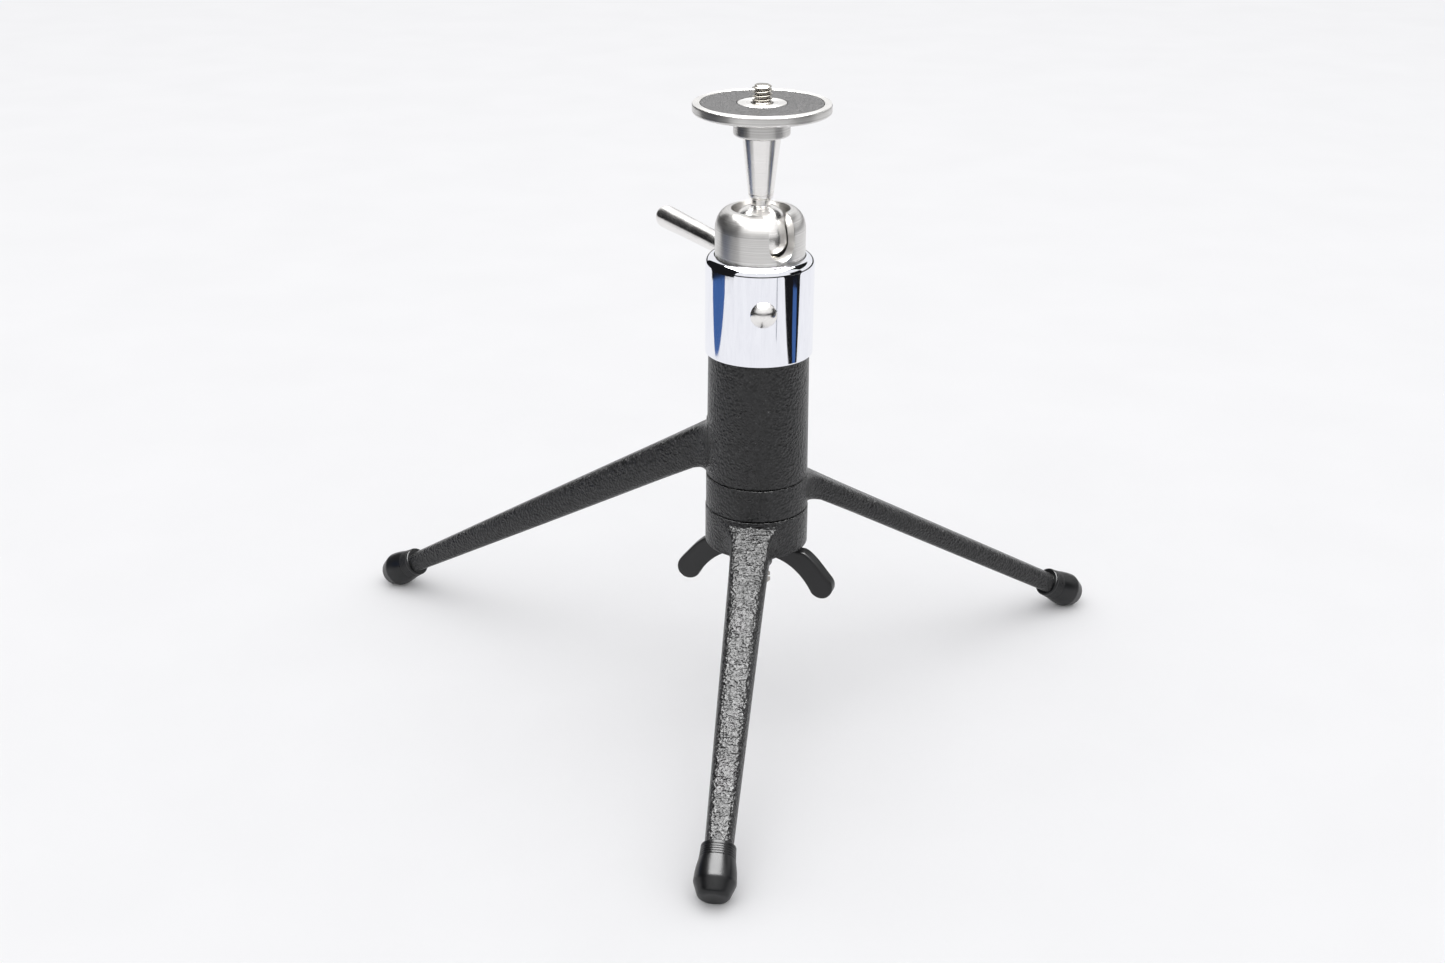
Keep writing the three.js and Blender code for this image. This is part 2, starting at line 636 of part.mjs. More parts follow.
function socketHousing() {
  const base = HEAD_BASE + HEAD_FLANGE + GAP;
  const step = CAM_TOP + GAP;
  const cavityTop = THREE.MathUtils.radToDeg(Math.acos(MOUTH_RADIUS / TUBE_BORE));
  const roundFoot = RIM - HOUSING_ROUND;
  const ringSeat = TUBE_RADIUS - RING_SEAT_DEPTH;
  let housing = turned(
    [
      [TUBE_BORE, base],
      [TUBE_RADIUS, base],
      [TUBE_RADIUS, RING_BASE - GAP],
      [ringSeat, RING_BASE - GAP],
      [ringSeat, RING_BASE + RING_THICKNESS + GAP],
      [TUBE_RADIUS, RING_BASE + RING_THICKNESS + GAP],
      [TUBE_RADIUS, step],
      [HOUSING_RADIUS, step],
      ...arc(HOUSING_RADIUS - HOUSING_ROUND, roundFoot, HOUSING_ROUND, 0, 90, 4),
      [MOUTH_RADIUS + 0.4, RIM],
      [MOUTH_RADIUS, RIM - 0.4],
      ...arc(0, BALL_CENTRE, TUBE_BORE, cavityTop, 0, 4),
      [TUBE_BORE, base],
    ],
    WIDE_SIDES,
  );
  housing = housing.subtract(stemSlot());
  for (const turn of Object.values(HOUSING_SCREW_TURNS)) {
    const radius = HOUSING_SCREW_RADIUS + GAP;
    housing = housing.subtract(
      screwHole(turn, radius, TUBE_BORE - 2, TUBE_RADIUS + 2, HOUSING_SCREW_HEIGHT),
    );
  }
  const width = 2 * (CROSS_PIN_RADIUS + GAP);
  const height = width + CLAMP_TRAVEL;
  const window = new THREE.BoxGeometry(2 * TUBE_RADIUS + 4, width, height);
  window.translate(0, 0, CROSS_PIN_HEIGHT - CLAMP_TRAVEL / 2);
  return housing.subtract(solid(window));
}

function retainingRing() {
  const inner = TUBE_RADIUS - RING_SEAT_DEPTH + GAP;
  return snapRing(inner, CAM_RADIUS - GAP, RING_BASE, RING_THICKNESS);
}

// ---- clamp: cup, cross pin, cam ring, collar and lever ----

function thrustCup() {
  const radius = BALL_RADIUS;
  const seatRadius = BALL_RADIUS + GAP;
  const lip = 0.84 * seatRadius;
  const lipAngle = -THREE.MathUtils.radToDeg(Math.acos(lip / seatRadius));
  const lipHeight = BALL_CENTRE - Math.sqrt(seatRadius ** 2 - lip ** 2);
  const cup = turned(
    [
      [0, CUP_BASE],
      [radius - 0.4, CUP_BASE],
      [radius, CUP_BASE + 0.4],
      [radius, lipHeight],
      ...arc(0, BALL_CENTRE, seatRadius, lipAngle, -90, 5),
    ],
    WIDE_SIDES,
  );
  const bore = rodGeometry(CROSS_PIN_RADIUS + GAP, -2 * radius, 2 * radius, 20);
  return cup.subtract(solid(radial(bore, 0, CROSS_PIN_HEIGHT)));
}

function crossPin() {
  const half = CAM_RADIUS - GAP;
  const pin = turnedGeometry(
    [
      [0, -half],
      [CROSS_PIN_RADIUS - 0.3, -half],
      [CROSS_PIN_RADIUS, 0.3 - half],
      [CROSS_PIN_RADIUS, half - 0.3],
      [CROSS_PIN_RADIUS - 0.3, half],
      [0, half],
    ],
    20,
  );
  return solid(radial(pin, 0, CROSS_PIN_HEIGHT));
}

// The collar and what is pinned to it turn anticlockwise to loosen, so the cross pin runs
// back along these slots and is carried down.
function camRing() {
  let ring = turned(ringOutline(CAM_BORE, CAM_RADIUS, CAM_BASE, CAM_TOP, 0.4), WIDE_SIDES);
  const half = CROSS_PIN_RADIUS + GAP;
  const room = THREE.MathUtils.radToDeg((half + 0.3) / CAM_BORE);
  const climb = (CLAMP_TRAVEL / CLAMP_TURN) * room;
  for (const turn of [0, 180]) {
    ring = ring.subtract(
      bentBox(
        turn - CLAMP_TURN - room,
        turn + room,
        CAM_BORE - 1,
        CAM_RADIUS + 1,
        CROSS_PIN_HEIGHT - half - CLAMP_TRAVEL - climb,
        CROSS_PIN_HEIGHT - half + climb,
        2 * half,
      ),
    );
  }
  for (const turn of PIN_TURNS) {
    ring = ring.subtract(
      screwHole(turn, PIN_SHANK_RADIUS + GAP, CAM_BORE - 1, CAM_RADIUS + 1, PIN_HEIGHT),
    );
  }
  return ring;
}

function clampCollar() {
  const top = HEAD_BASE + COLLAR_HEIGHT;
  const opening = HOUSING_RADIUS + GAP;
  let collar = turned(
    [
      [COLLAR_BORE, HEAD_BASE],
      [COLLAR_RADIUS - 0.3, HEAD_BASE],
      [COLLAR_RADIUS, HEAD_BASE + 0.3],
      ...arc(COLLAR_RADIUS - COLLAR_ROUND, top - COLLAR_ROUND, COLLAR_ROUND, 0, 90, 4),
      [opening, top - 0.2],
      [opening, top - COLLAR_LIP],
      [COLLAR_BORE, top - COLLAR_LIP - 1],
      [COLLAR_BORE, HEAD_BASE],
    ],
    RIM_SIDES,
  );
  for (const turn of PIN_TURNS) {
    collar = collar.subtract(
      screwHole(turn, PIN_SHANK_RADIUS + GAP, COLLAR_BORE - 1, COLLAR_RADIUS + 1, PIN_HEIGHT),
    );
  }
  return collar.subtract(
    screwHole(
      LEVER_TURN,
      LEVER_SPIGOT_RADIUS + GAP,
      HOUSING_RADIUS,
      COLLAR_RADIUS + 1,
      LEVER_HEIGHT,
    ),
  );
}

// A domed pin head on a shank that reaches through the collar into the cam ring.
function domedPin(turn) {
  const foot = COLLAR_RADIUS + GAP;
  const domeRadius = (PIN_HEAD_RADIUS ** 2 + PIN_HEAD_HEIGHT ** 2) / (2 * PIN_HEAD_HEIGHT);
  const centre = foot + PIN_HEAD_HEIGHT - domeRadius;
  const from = THREE.MathUtils.radToDeg(Math.asin((foot - centre) / domeRadius));
  const outline = [
    [0, CAM_BORE + GAP],
    [PIN_SHANK_RADIUS, CAM_BORE + GAP],
    [PIN_SHANK_RADIUS, foot],
    ...arc(0, centre, domeRadius, from, 90, 4),
  ];
  return solid(radial(turnedGeometry(outline, SMALL_SIDES), turn, PIN_HEIGHT));
}

// The lever: a rod that swells to a round tip, screwed into the collar's wall.
function lever() {
  const foot = COLLAR_RADIUS + GAP;
  const outline = [
    [0, HOUSING_RADIUS + 2 * GAP],
    [LEVER_SPIGOT_RADIUS, HOUSING_RADIUS + 2 * GAP],
    [LEVER_SPIGOT_RADIUS, foot],
    [LEVER_ROOT_RADIUS - 0.3, foot],
    [LEVER_ROOT_RADIUS, foot + 0.3],
    ...arc(0, LEVER_REACH, LEVER_TIP_RADIUS, 0, 90, 5),
  ];
  return solid(radial(turnedGeometry(outline, SMALL_SIDES), LEVER_TURN, LEVER_HEIGHT));
}

// The coned spring washer that lifts the cup against the ball before the lever clamps it.
function cupSpring() {
  const rim = TUBE_BORE - 2 * GAP;
  const low = HEAD_SPIGOT_TOP + GAP;
  const high = CUP_BASE - GAP;
  return turned(
    [
      [rim - CUP_SPRING_THICKNESS, low],
      [rim, low],
      [rim, low + CUP_SPRING_THICKNESS / 2],
      [CUP_SPRING_EYE + CUP_SPRING_THICKNESS, high],
      [CUP_SPRING_EYE, high],
      [CUP_SPRING_EYE, high - CUP_SPRING_THICKNESS / 2],
      [rim - CUP_SPRING_THICKNESS, low],
    ],
    WIDE_SIDES,
  );
}

// ---- ball stem and platform ----

function ballStem() {
  const neckAngle = THREE.MathUtils.radToDeg(Math.acos(NECK_RADIUS / BALL_RADIUS));
  const neckTop = BALL_CENTRE + NECK_TOP;
  const seatLow = STEM_SHOULDER - SCREW_SEAT_DEPTH;
  return turned(
    [
      ...arc(0, BALL_CENTRE, BALL_RADIUS, -90, neckAngle, 15),
      [NECK_RADIUS, neckTop - STEM_EDGE],
      [STEM_ROOT_RADIUS - STEM_EDGE, neckTop],
      [STEM_ROOT_RADIUS, neckTop + STEM_EDGE],
      [STEM_TIP_RADIUS, STEM_SHOULDER],
      [SPIGOT_RADIUS, STEM_SHOULDER],
      [SPIGOT_RADIUS, STEM_SHOULDER + SPIGOT_LENGTH],
      [SCREW_RADIUS + GAP, STEM_SHOULDER + SPIGOT_LENGTH],
      [SCREW_RADIUS + GAP, seatLow],
      [0, seatLow],
    ],
    BALL_SIDES,
  );
}

function platformDisc() {
  const bossTop = PLATFORM_BASE + PLATFORM_BOSS_HEIGHT;
  const padFloor = PLATFORM_TOP - PAD_THICKNESS;
  const counterbore = SPIGOT_RADIUS + GAP;
  const spigotTop = STEM_SHOULDER + SPIGOT_LENGTH;
  return turned(
    [
      [counterbore, PLATFORM_BASE],
      [PLATFORM_BOSS_RADIUS - BOSS_EDGE, PLATFORM_BASE],
      [PLATFORM_BOSS_RADIUS, PLATFORM_BASE + BOSS_EDGE],
      [PLATFORM_BOSS_RADIUS, bossTop],
      [PLATFORM_RADIUS - DISC_CHAMFER, bossTop],
      [PLATFORM_RADIUS, bossTop + DISC_CHAMFER / 2],
      [PLATFORM_RADIUS, PLATFORM_TOP - DISC_EDGE],
      [PLATFORM_RADIUS - DISC_EDGE, PLATFORM_TOP],
      [PAD_RADIUS + GAP, PLATFORM_TOP],
      [PAD_RADIUS + GAP, padFloor - GAP],
      [PAD_BORE_RADIUS - GAP, padFloor - GAP],
      [PAD_BORE_RADIUS - GAP, PLATFORM_TOP],
      [SCREW_RADIUS + GAP, PLATFORM_TOP],
      [SCREW_RADIUS + GAP, spigotTop + GAP],
      [counterbore, spigotTop + GAP],
      [counterbore, PLATFORM_BASE],
    ],
    RIM_SIDES,
  );
}

function platformPad() {
  const low = PLATFORM_TOP - PAD_THICKNESS;
  return turned(ringOutline(PAD_BORE_RADIUS, PAD_RADIUS, low, PLATFORM_TOP, 0.2), WIDE_SIDES);
}

// The camera screw: a plain shank in the stem and a threaded end above the platform, its
// thread drawn as rings one pitch apart.
function cameraScrew() {
  const root = SCREW_RADIUS - SCREW_THREAD_DEPTH;
  const top = PLATFORM_TOP + SCREW_STAND;
  const low = STEM_SHOULDER - SCREW_SEAT_DEPTH + GAP;
  const threadLow = PLATFORM_TOP + 0.2;
  const outline = [
    [0, low],
    [SCREW_RADIUS, low],
    [SCREW_RADIUS, threadLow],
  ];
  for (let z = threadLow; z + SCREW_PITCH < top - 0.2; z += SCREW_PITCH) {
    outline.push([root, z + SCREW_PITCH / 2], [SCREW_RADIUS, z + SCREW_PITCH]);
  }
  outline.push([root, top - 0.05], [0, top]);
  return turned(outline);
}

// ---- assembly ----

function piece(name, made, material) {
  const mesh = made.getMesh();
  const geometry = new THREE.BufferGeometry();
  geometry.setAttribute("position", new THREE.BufferAttribute(mesh.vertProperties, 3));
  geometry.setIndex(new THREE.BufferAttribute(mesh.triVerts, 1));
  const object = new THREE.Mesh(geometry, material);
  object.name = name;
  return object;
}

function legGroup(name, made) {
  const group = new THREE.Group();
  group.add(piece(name + "_leg", made.casting, enamel));
  group.add(piece(name + "_leg_foot", boot(made.line), rubber));
  group.rotation.z = THREE.MathUtils.degToRad(LEGS[name].turn);
  return group;
}

const wasm = await Module();
wasm.setup();

const tripod = new THREE.Group();
tripod.add(legGroup("upper", upperLeg()));
tripod.add(legGroup("middle", middleLeg()));
tripod.add(legGroup("lower", lowerLeg()));
tripod.add(piece("spindle_bolt", spindleBolt(), steel));
tripod.add(piece("upper_friction_washer", frictionWasher(MIDDLE_HUB_TOP), fibre));
tripod.add(piece("lower_friction_washer", frictionWasher(LOWER_HUB_TOP), fibre));
tripod.add(piece("spring_washer", springWasher(), steel));
tripod.add(piece("thrust_washer", thrustWasher(), steel));
tripod.add(piece("wing_nut", wingNut(), blackPaint));
tripod.add(piece("nut_stop_ring", nutStopRing(), steel));

const head = new THREE.Group();
head.add(piece("stud_plate", studPlate(), steel));
head.add(piece("head_stud", headStud(), steel));
head.add(piece("head_base", headBase(), aluminium));
head.add(piece("socket_housing", socketHousing(), aluminium));
for (const [side, turn] of Object.entries(HOUSING_SCREW_TURNS)) {
  head.add(piece("housing_screw_" + side, housingScrew(turn), steel));
}
head.add(piece("retaining_ring", retainingRing(), steel));
head.add(piece("thrust_cup", thrustCup(), aluminium));
head.add(piece("cross_pin", crossPin(), steel));
head.add(piece("cup_spring", cupSpring(), steel));
head.add(piece("cam_ring", camRing(), steel));
head.add(piece("clamp_collar", clampCollar(), chrome));
head.add(piece("front_pin", domedPin(PIN_TURNS[0]), aluminium));
head.add(piece("rear_pin", domedPin(PIN_TURNS[1]), aluminium));
head.add(piece("lever", lever(), aluminium));
head.add(piece("ball_stem", ballStem(), aluminium));
head.add(piece("platform_disc", platformDisc(), aluminium));
head.add(piece("platform_pad", platformPad(), leather));
head.add(piece("camera_screw", cameraScrew(), steel));

const assembly = new THREE.Group();
assembly.add(tripod, head);

// The origin is on the ground under the middle of the whole footprint.
assembly.updateMatrixWorld(true);
const box = new THREE.Box3().setFromObject(assembly, true);
assembly.position.set(-(box.min.x + box.max.x) / 2, -(box.min.y + box.max.y) / 2, -box.min.z);

export default assembly;
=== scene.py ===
import bpy
import numpy as np
from mathutils import Matrix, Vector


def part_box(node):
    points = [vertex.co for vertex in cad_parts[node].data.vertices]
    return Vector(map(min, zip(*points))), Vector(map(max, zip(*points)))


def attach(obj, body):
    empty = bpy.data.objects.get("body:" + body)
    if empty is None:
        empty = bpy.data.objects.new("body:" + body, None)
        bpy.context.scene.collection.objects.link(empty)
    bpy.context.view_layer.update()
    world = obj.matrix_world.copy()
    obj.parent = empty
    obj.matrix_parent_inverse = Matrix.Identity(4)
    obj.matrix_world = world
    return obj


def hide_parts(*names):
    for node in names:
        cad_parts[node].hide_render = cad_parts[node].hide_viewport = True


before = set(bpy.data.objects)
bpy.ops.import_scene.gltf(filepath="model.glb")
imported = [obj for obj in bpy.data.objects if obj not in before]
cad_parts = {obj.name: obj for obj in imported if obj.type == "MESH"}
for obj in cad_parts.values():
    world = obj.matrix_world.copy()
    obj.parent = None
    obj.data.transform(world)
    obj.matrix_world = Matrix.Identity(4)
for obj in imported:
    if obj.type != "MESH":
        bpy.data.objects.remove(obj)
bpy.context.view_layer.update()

MM = 0.001
TURN = 2 * np.pi


# ---- sizes, in millimetres: some read from the imported frame, the rest given ----

def base(node):
    """Height of a node's underside."""
    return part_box(node)[0].z / MM


def top(node):
    """Height of a node's top."""
    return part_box(node)[1].z / MM


hub = (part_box("thrust_washer")[0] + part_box("thrust_washer")[1]) / 2 / MM
AXIS = np.array([hub.x, hub.y, 0.0])
BALL_RADIUS = 10.5
BALL = base("ball_stem") + BALL_RADIUS

# Width and height of the quarter ellipse that rounds the ball housing's shoulder
HOUSING_SHOULDER = (4.8, 6.6)

# Directions round the column, in degrees
WING_TURNS = (-18.6, 161.4)
PIN_TURNS = {"front_pin": -86.6, "rear_pin": 93.4}
LEVER_TURN = 119.4
SLOT_TURN = -62

# The camera screw: half its 1/4 inch width, the pitch of 20 threads to the inch, and how
# deep its thread is drawn
SCREW_RADIUS = 3.175
SCREW_PITCH = 1.27
THREAD_DEPTH = 0.8

# Each leg: direction in degrees, hub radius, hub heights, height of the arm's middle at the
# hub, its depth there, how far the foot reaches, and the height of the fillet over the arm
LEGS = {
    "upper_leg": (149.1, 16.8, 84.6, 127.0, 92.9, 15.2, 160.0, 3.2),
    "middle_leg": (29.5, 17.0, 73.3, 84.3, 78.5, 8.7, 137.7, 0.7),
    "lower_leg": (-96.2, 17.2, 59.9, 73.0, 66.6, 9.2, 119.5, 0.8),
}
LEG_BODY = {"upper_leg": "stand", "middle_leg": "middle_leg", "lower_leg": "lower_leg"}

# The arm's width at its two ends, its depth at the boot, the fillet at its root, and the
# length over which its section changes from the root's to the arm's
ARM_WIDTH_ROOT = 13.2
ARM_WIDTH_BOOT = 8.6
ARM_DEPTH_BOOT = 7.0
ROOT_FILLET = 12.0
ROOT_LENGTH = 22.0

# The boot: the height of its middle line over the ground at the foot, how far its mouth is
# from there, the depth of its socket, and the radius of the peg that fills the socket
FOOT_HEIGHT = 6.4
BOOT_MOUTH = 10.3
PEG_DEPTH = 9.7
PEG_RADIUS = 3.0


# ---- camera ----

def place_camera():
    """A long view from the front, looking 23.8 degrees down, rolled a third of a degree."""
    down = np.radians(23.79002)
    roll = np.radians(-0.33671)
    ahead = np.array([0, np.cos(down), -np.sin(down)])
    right = np.array([1.0, 0, 0])
    below = np.array([0, -np.sin(down), -np.cos(down)])
    x = np.cos(roll) * right + np.sin(roll) * below
    y = np.sin(roll) * right - np.cos(roll) * below
    data = bpy.data.cameras.new("camera")
    data.lens = 45.4295
    data.sensor_width = 36
    camera = bpy.data.objects.new("camera", data)
    bpy.context.scene.collection.objects.link(camera)
    turn = Matrix([list(row) for row in np.array([x, y, -ahead]).T]).to_4x4()
    camera.matrix_world = Matrix.Translation((-0.0027805, -0.5395806, 0.3266008)) @ turn
    bpy.context.scene.camera = camera


# ---- node materials ----

def linear(code):
    """An sRGB hex value as linear red, green, blue and an alpha of 1."""
    channel = np.array([int(code[i : i + 2], 16) for i in (1, 3, 5)]) / 255
    low, high = channel / 12.92, ((channel + 0.055) / 1.055) ** 2.4
    return (*np.where(channel <= 0.04045, low, high).tolist(), 1.0)


def add(tree, kind, settings=None, inputs=None):
    """Adds one node, sets its properties, and gives each socket a value or a link."""
    made = tree.nodes.new(kind)
    for name, value in (settings or {}).items():
        setattr(made, name, value)
    for name, value in (inputs or {}).items():
        socket = made.inputs[name]
        if isinstance(value, bpy.types.NodeSocket):
            tree.links.new(value, socket)
        else:
            socket.default_value = value
    return made


def per_mm(size):
    """Texture scale, on coordinates in metres, that makes one feature this many mm wide."""
    return 1000 / size


def ramp(tree, factor, stops):
    """A colour ramp with stops given as (place, sRGB hex)."""
    made = add(tree, "ShaderNodeValToRGB", None, {"Fac": factor})
    steps = made.color_ramp.elements
    while len(steps) < len(stops):
        steps.new(0.5)
    for step, (place, code) in zip(steps, stops):
        step.position = place
        step.color = linear(code)
    return made.outputs["Color"]


def remap(tree, value, low, high):
    """Stretches the middle of a noise, 0.3 to 0.7, to a range."""
    return add(
        tree, "ShaderNodeMapRange", None,
        {"Value": value, "From Min": 0.3, "From Max": 0.7, "To Min": low, "To Max": high},
    ).outputs["Result"]


def new_finish(name):
    """An empty material: its tree, its shader, and the surface's own coordinates."""
    material = bpy.data.materials.new(name)
    material.use_nodes = True
    tree = material.node_tree
    tree.nodes.clear()
    shader = add(tree, "ShaderNodeBsdfPrincipled")
    add(tree, "ShaderNodeOutputMaterial", None, {"Surface": shader.outputs["BSDF"]})
    place = add(tree, "ShaderNodeTexCoord").outputs["Object"]
    return material, tree, shader, place


def relief(tree, shader, layers):
    """Chains bumps, each given as (height, depth in mm, strength), into the shader's normal."""
    last = None
    for height, depth, strength in layers:
        inputs = {"Height": height, "Distance": depth * MM, "Strength": strength}
        if last is not None:
            inputs["Normal"] = last
        last = add(tree, "ShaderNodeBump", None, inputs).outputs["Normal"]
    tree.links.new(last, shader.inputs["Normal"])


def wrinkle_enamel():
    """Black wrinkle enamel stoved on a cast leg: a skin of fine soft pebbles 0.9 mm across,
    and on the upward faces of the arms ripples 1.2 mm apart that run across."""
    material, tree, shader, place = new_finish("wrinkle enamel, stoved")
    creases = add(
        tree, "ShaderNodeTexNoise", None,
        {"Vector": place, "Scale": per_mm(1.3), "Detail": 4.0, "Roughness": 0.62, "Distortion": 0.9},
    ).outputs["Fac"]
    pebbles = add(
        tree, "ShaderNodeTexVoronoi", {"feature": "SMOOTH_F1"},
        {"Vector": place, "Scale": per_mm(0.9), "Smoothness": 0.5, "Randomness": 1.0},
    ).outputs["Distance"]
    lengthways = add(
        tree, "ShaderNodeMapping", None,
        {"Vector": add(tree, "ShaderNodeUVMap", {"uv_map": "turning"}).outputs["UV"],
         "Scale": (0.4, 1.0, 1.0)},
    ).outputs["Vector"]
    ripples = add(
        tree, "ShaderNodeTexVoronoi", {"feature": "SMOOTH_F1"},
        {"Vector": lengthways, "Scale": per_mm(1.2), "Smoothness": 0.4, "Randomness": 1.0},
    ).outputs["Distance"]
    facing = add(
        tree, "ShaderNodeSeparateXYZ", None,
        {"Vector": add(tree, "ShaderNodeNewGeometry").outputs["Normal"]},
    ).outputs["Z"]
    upward = add(
        tree, "ShaderNodeMapRange", None, {"Value": facing, "From Min": 0.25, "From Max": 0.7}
    ).outputs["Result"]
    crests = add(
        tree, "ShaderNodeMath", {"operation": "MULTIPLY"}, {0: ripples, 1: upward}
    ).outputs["Value"]
    patches = add(
        tree, "ShaderNodeTexNoise", None, {"Vector": place, "Scale": per_mm(14), "Detail": 2.0}
    ).outputs["Fac"]
    # Base colour follows the same crease noise as the bump: darker in the creases as painted shade,
    # lighter on the crowns as painted sheen.
    painted_crease_shade_and_sheen = ramp(tree, creases, [(0.35, "#050505"), (0.65, "#232324")])
    tree.links.new(painted_crease_shade_and_sheen, shader.inputs["Base Color"])
    tree.links.new(remap(tree, patches, 0.24, 0.32), shader.inputs["Roughness"])
    shader.inputs["IOR"].default_value = 1.5
    relief(tree, shader, [(pebbles, 0.4, 0.9), (creases, 0.45, 0.7), (crests, 0.42, 0.85)])
    return material


def satin_paint():
    """Smooth black stoving paint on the forged wing nut: an even satin skin with the faint
    orange peel of a sprayed coat."""
    material, tree, shader, place = new_finish("black paint, sprayed")
    peel = add(
        tree, "ShaderNodeTexNoise", None, {"Vector": place, "Scale": per_mm(2.2), "Detail": 2.0}
    ).outputs["Fac"]
    dust = add(
        tree, "ShaderNodeTexNoise", None, {"Vector": place, "Scale": per_mm(9), "Detail": 3.0}
    ).outputs["Fac"]
    tree.links.new(ramp(tree, dust, [(0.3, "#101011"), (0.7, "#18181A")]), shader.inputs["Base Color"])
    tree.links.new(remap(tree, dust, 0.3, 0.4), shader.inputs["Roughness"])
    shader.inputs["IOR"].default_value = 1.5
    relief(tree, shader, [(peel, 0.05, 0.35)])
    return material


def boot_rubber():
    """Moulded black rubber: smooth and slightly blue, with a soft gloss and faint handling
    marks."""
    material, tree, shader, place = new_finish("rubber, moulded")
    marks = add(
        tree, "ShaderNodeTexNoise", None,
        {"Vector": place, "Scale": per_mm(5), "Detail": 4.0, "Distortion": 0.4},
    ).outputs["Fac"]
    tree.links.new(ramp(tree, marks, [(0.3, "#0C0D0F"), (0.7, "#141517")]), shader.inputs["Base Color"])
    tree.links.new(remap(tree, marks, 0.27, 0.35), shader.inputs["Roughness"])
    shader.inputs["IOR"].default_value = 1.45
    relief(tree, shader, [(marks, 0.03, 0.3)])
    return material


def chrome_plate():
    """Bright chromium plate over drawn tube: a mirror whose tube waves very slightly, with
    hairline rubs from years of handling."""
    material, tree, shader, place = new_finish("chromium plate, polished")
    wave = add(
        tree, "ShaderNodeTexNoise", None, {"Vector": place, "Scale": per_mm(11), "Detail": 1.0}
    ).outputs["Fac"]
    upright = add(
        tree, "ShaderNodeMapping", None, {"Vector": place, "Scale": (1.0, 1.0, 0.12)}
    ).outputs["Vector"]
    rubs = add(
        tree, "ShaderNodeTexNoise", None,
        {"Vector": upright, "Scale": per_mm(1.6), "Detail": 4.0, "Roughness": 0.7, "Distortion": 1.5},
    ).outputs["Fac"]
    shader.inputs["Metallic"].default_value = 1.0
    tree.links.new(ramp(tree, rubs, [(0.35, "#F5F6FB"), (0.75, "#ECEDF3")]), shader.inputs["Base Color"])
    tree.links.new(remap(tree, rubs, 0.035, 0.075), shader.inputs["Roughness"])
    relief(tree, shader, [(wave, 0.02, 0.25), (rubs, 0.004, 0.2)])
    return material


def turned_metal(name, light, dark, smooth, rough, groove):
    """Metal cut on a lathe: fine rings run round the piece along its own outline, so light
    spreads across them. The real rings are 0.1 mm apart and are drawn 0.45 mm apart, the
    finest that shows."""
    material, tree, shader, place = new_finish(name)
    along = add(
        tree, "ShaderNodeSeparateXYZ", None,
        {"Vector": add(tree, "ShaderNodeUVMap", {"uv_map": "turning"}).outputs["UV"]},
    ).outputs["Y"]
    rings = add(
        tree, "ShaderNodeTexNoise", {"noise_dimensions": "1D"},
        {"W": along, "Scale": per_mm(0.45), "Detail": 3.0, "Roughness": 0.8},
    ).outputs["Fac"]
    stain = add(
        tree, "ShaderNodeTexNoise", None, {"Vector": place, "Scale": per_mm(7), "Detail": 3.0}
    ).outputs["Fac"]
    shader.inputs["Metallic"].default_value = 1.0
    shader.inputs["Anisotropic"].default_value = 0.5
    shader.inputs["Anisotropic Rotation"].default_value = 0.25
    tangent = add(tree, "ShaderNodeTangent", {"direction_type": "UV_MAP", "uv_map": "turning"})
    tree.links.new(tangent.outputs["Tangent"], shader.inputs["Tangent"])
    tree.links.new(ramp(tree, rings, [(0.3, dark), (0.7, light)]), shader.inputs["Base Color"])
    tree.links.new(remap(tree, stain, smooth, rough), shader.inputs["Roughness"])
    relief(tree, shader, [(rings, groove, 0.5)])
    return material


def plated_steel():
    """Nickel plated steel, tumbled then plated: bright, faintly yellow, lightly clouded."""
    material, tree, shader, place = new_finish("nickel plated steel, tumbled")
    cloud = add(
        tree, "ShaderNodeTexNoise", None, {"Vector": place, "Scale": per_mm(3), "Detail": 4.0}
    ).outputs["Fac"]
    shader.inputs["Metallic"].default_value = 1.0
    tree.links.new(ramp(tree, cloud, [(0.3, "#8F8B84"), (0.7, "#B0ACA5")]), shader.inputs["Base Color"])
    tree.links.new(remap(tree, cloud, 0.22, 0.3), shader.inputs["Roughness"])
    relief(tree, shader, [(cloud, 0.01, 0.3)])
    return material


def grained_leather():
    """Black leather pad, dyed and pressed: a fine grain of cells 1.1 mm across, matt,
    with its grain crowns painted paler as painted sheen and its hollows darker as painted shade."""
    material, tree, shader, place = new_finish("leather, pressed grain")
    cells = add(
        tree, "ShaderNodeTexVoronoi", {"feature": "DISTANCE_TO_EDGE"},
        {"Vector": place, "Scale": per_mm(1.1), "Randomness": 1.0},
    ).outputs["Distance"]
    fibre = add(
        tree, "ShaderNodeTexNoise", None,
        {"Vector": place, "Scale": per_mm(1.3), "Detail": 4.0, "Distortion": 0.8},
    ).outputs["Fac"]
    # Base colour follows the same fibre noise as the bump: paler on the crowns as painted sheen, darker
    # in the hollows as painted shade.
    tree.links.new(ramp(tree, fibre, [(0.3, "#181717"), (0.7, "#454343")]), shader.inputs["Base Color"])
    tree.links.new(remap(tree, fibre, 0.5, 0.62), shader.inputs["Roughness"])
    shader.inputs["IOR"].default_value = 1.48
    relief(tree, shader, [(cells, 0.5, 0.8), (fibre, 0.4, 0.9)])
    return material


def pressed_fibre():
    """Vulcanised fibre washers: brown-red, matt, with a paper grain."""
    material, tree, shader, place = new_finish("vulcanised fibre, stamped")
    grain = add(
        tree, "ShaderNodeTexNoise", None, {"Vector": place, "Scale": per_mm(0.8), "Detail": 5.0}
    ).outputs["Fac"]
    tree.links.new(ramp(tree, grain, [(0.3, "#4A2C1C"), (0.7, "#653E29")]), shader.inputs["Base Color"])
    shader.inputs["Roughness"].default_value = 0.7
    relief(tree, shader, [(grain, 0.04, 0.4)])
    return material


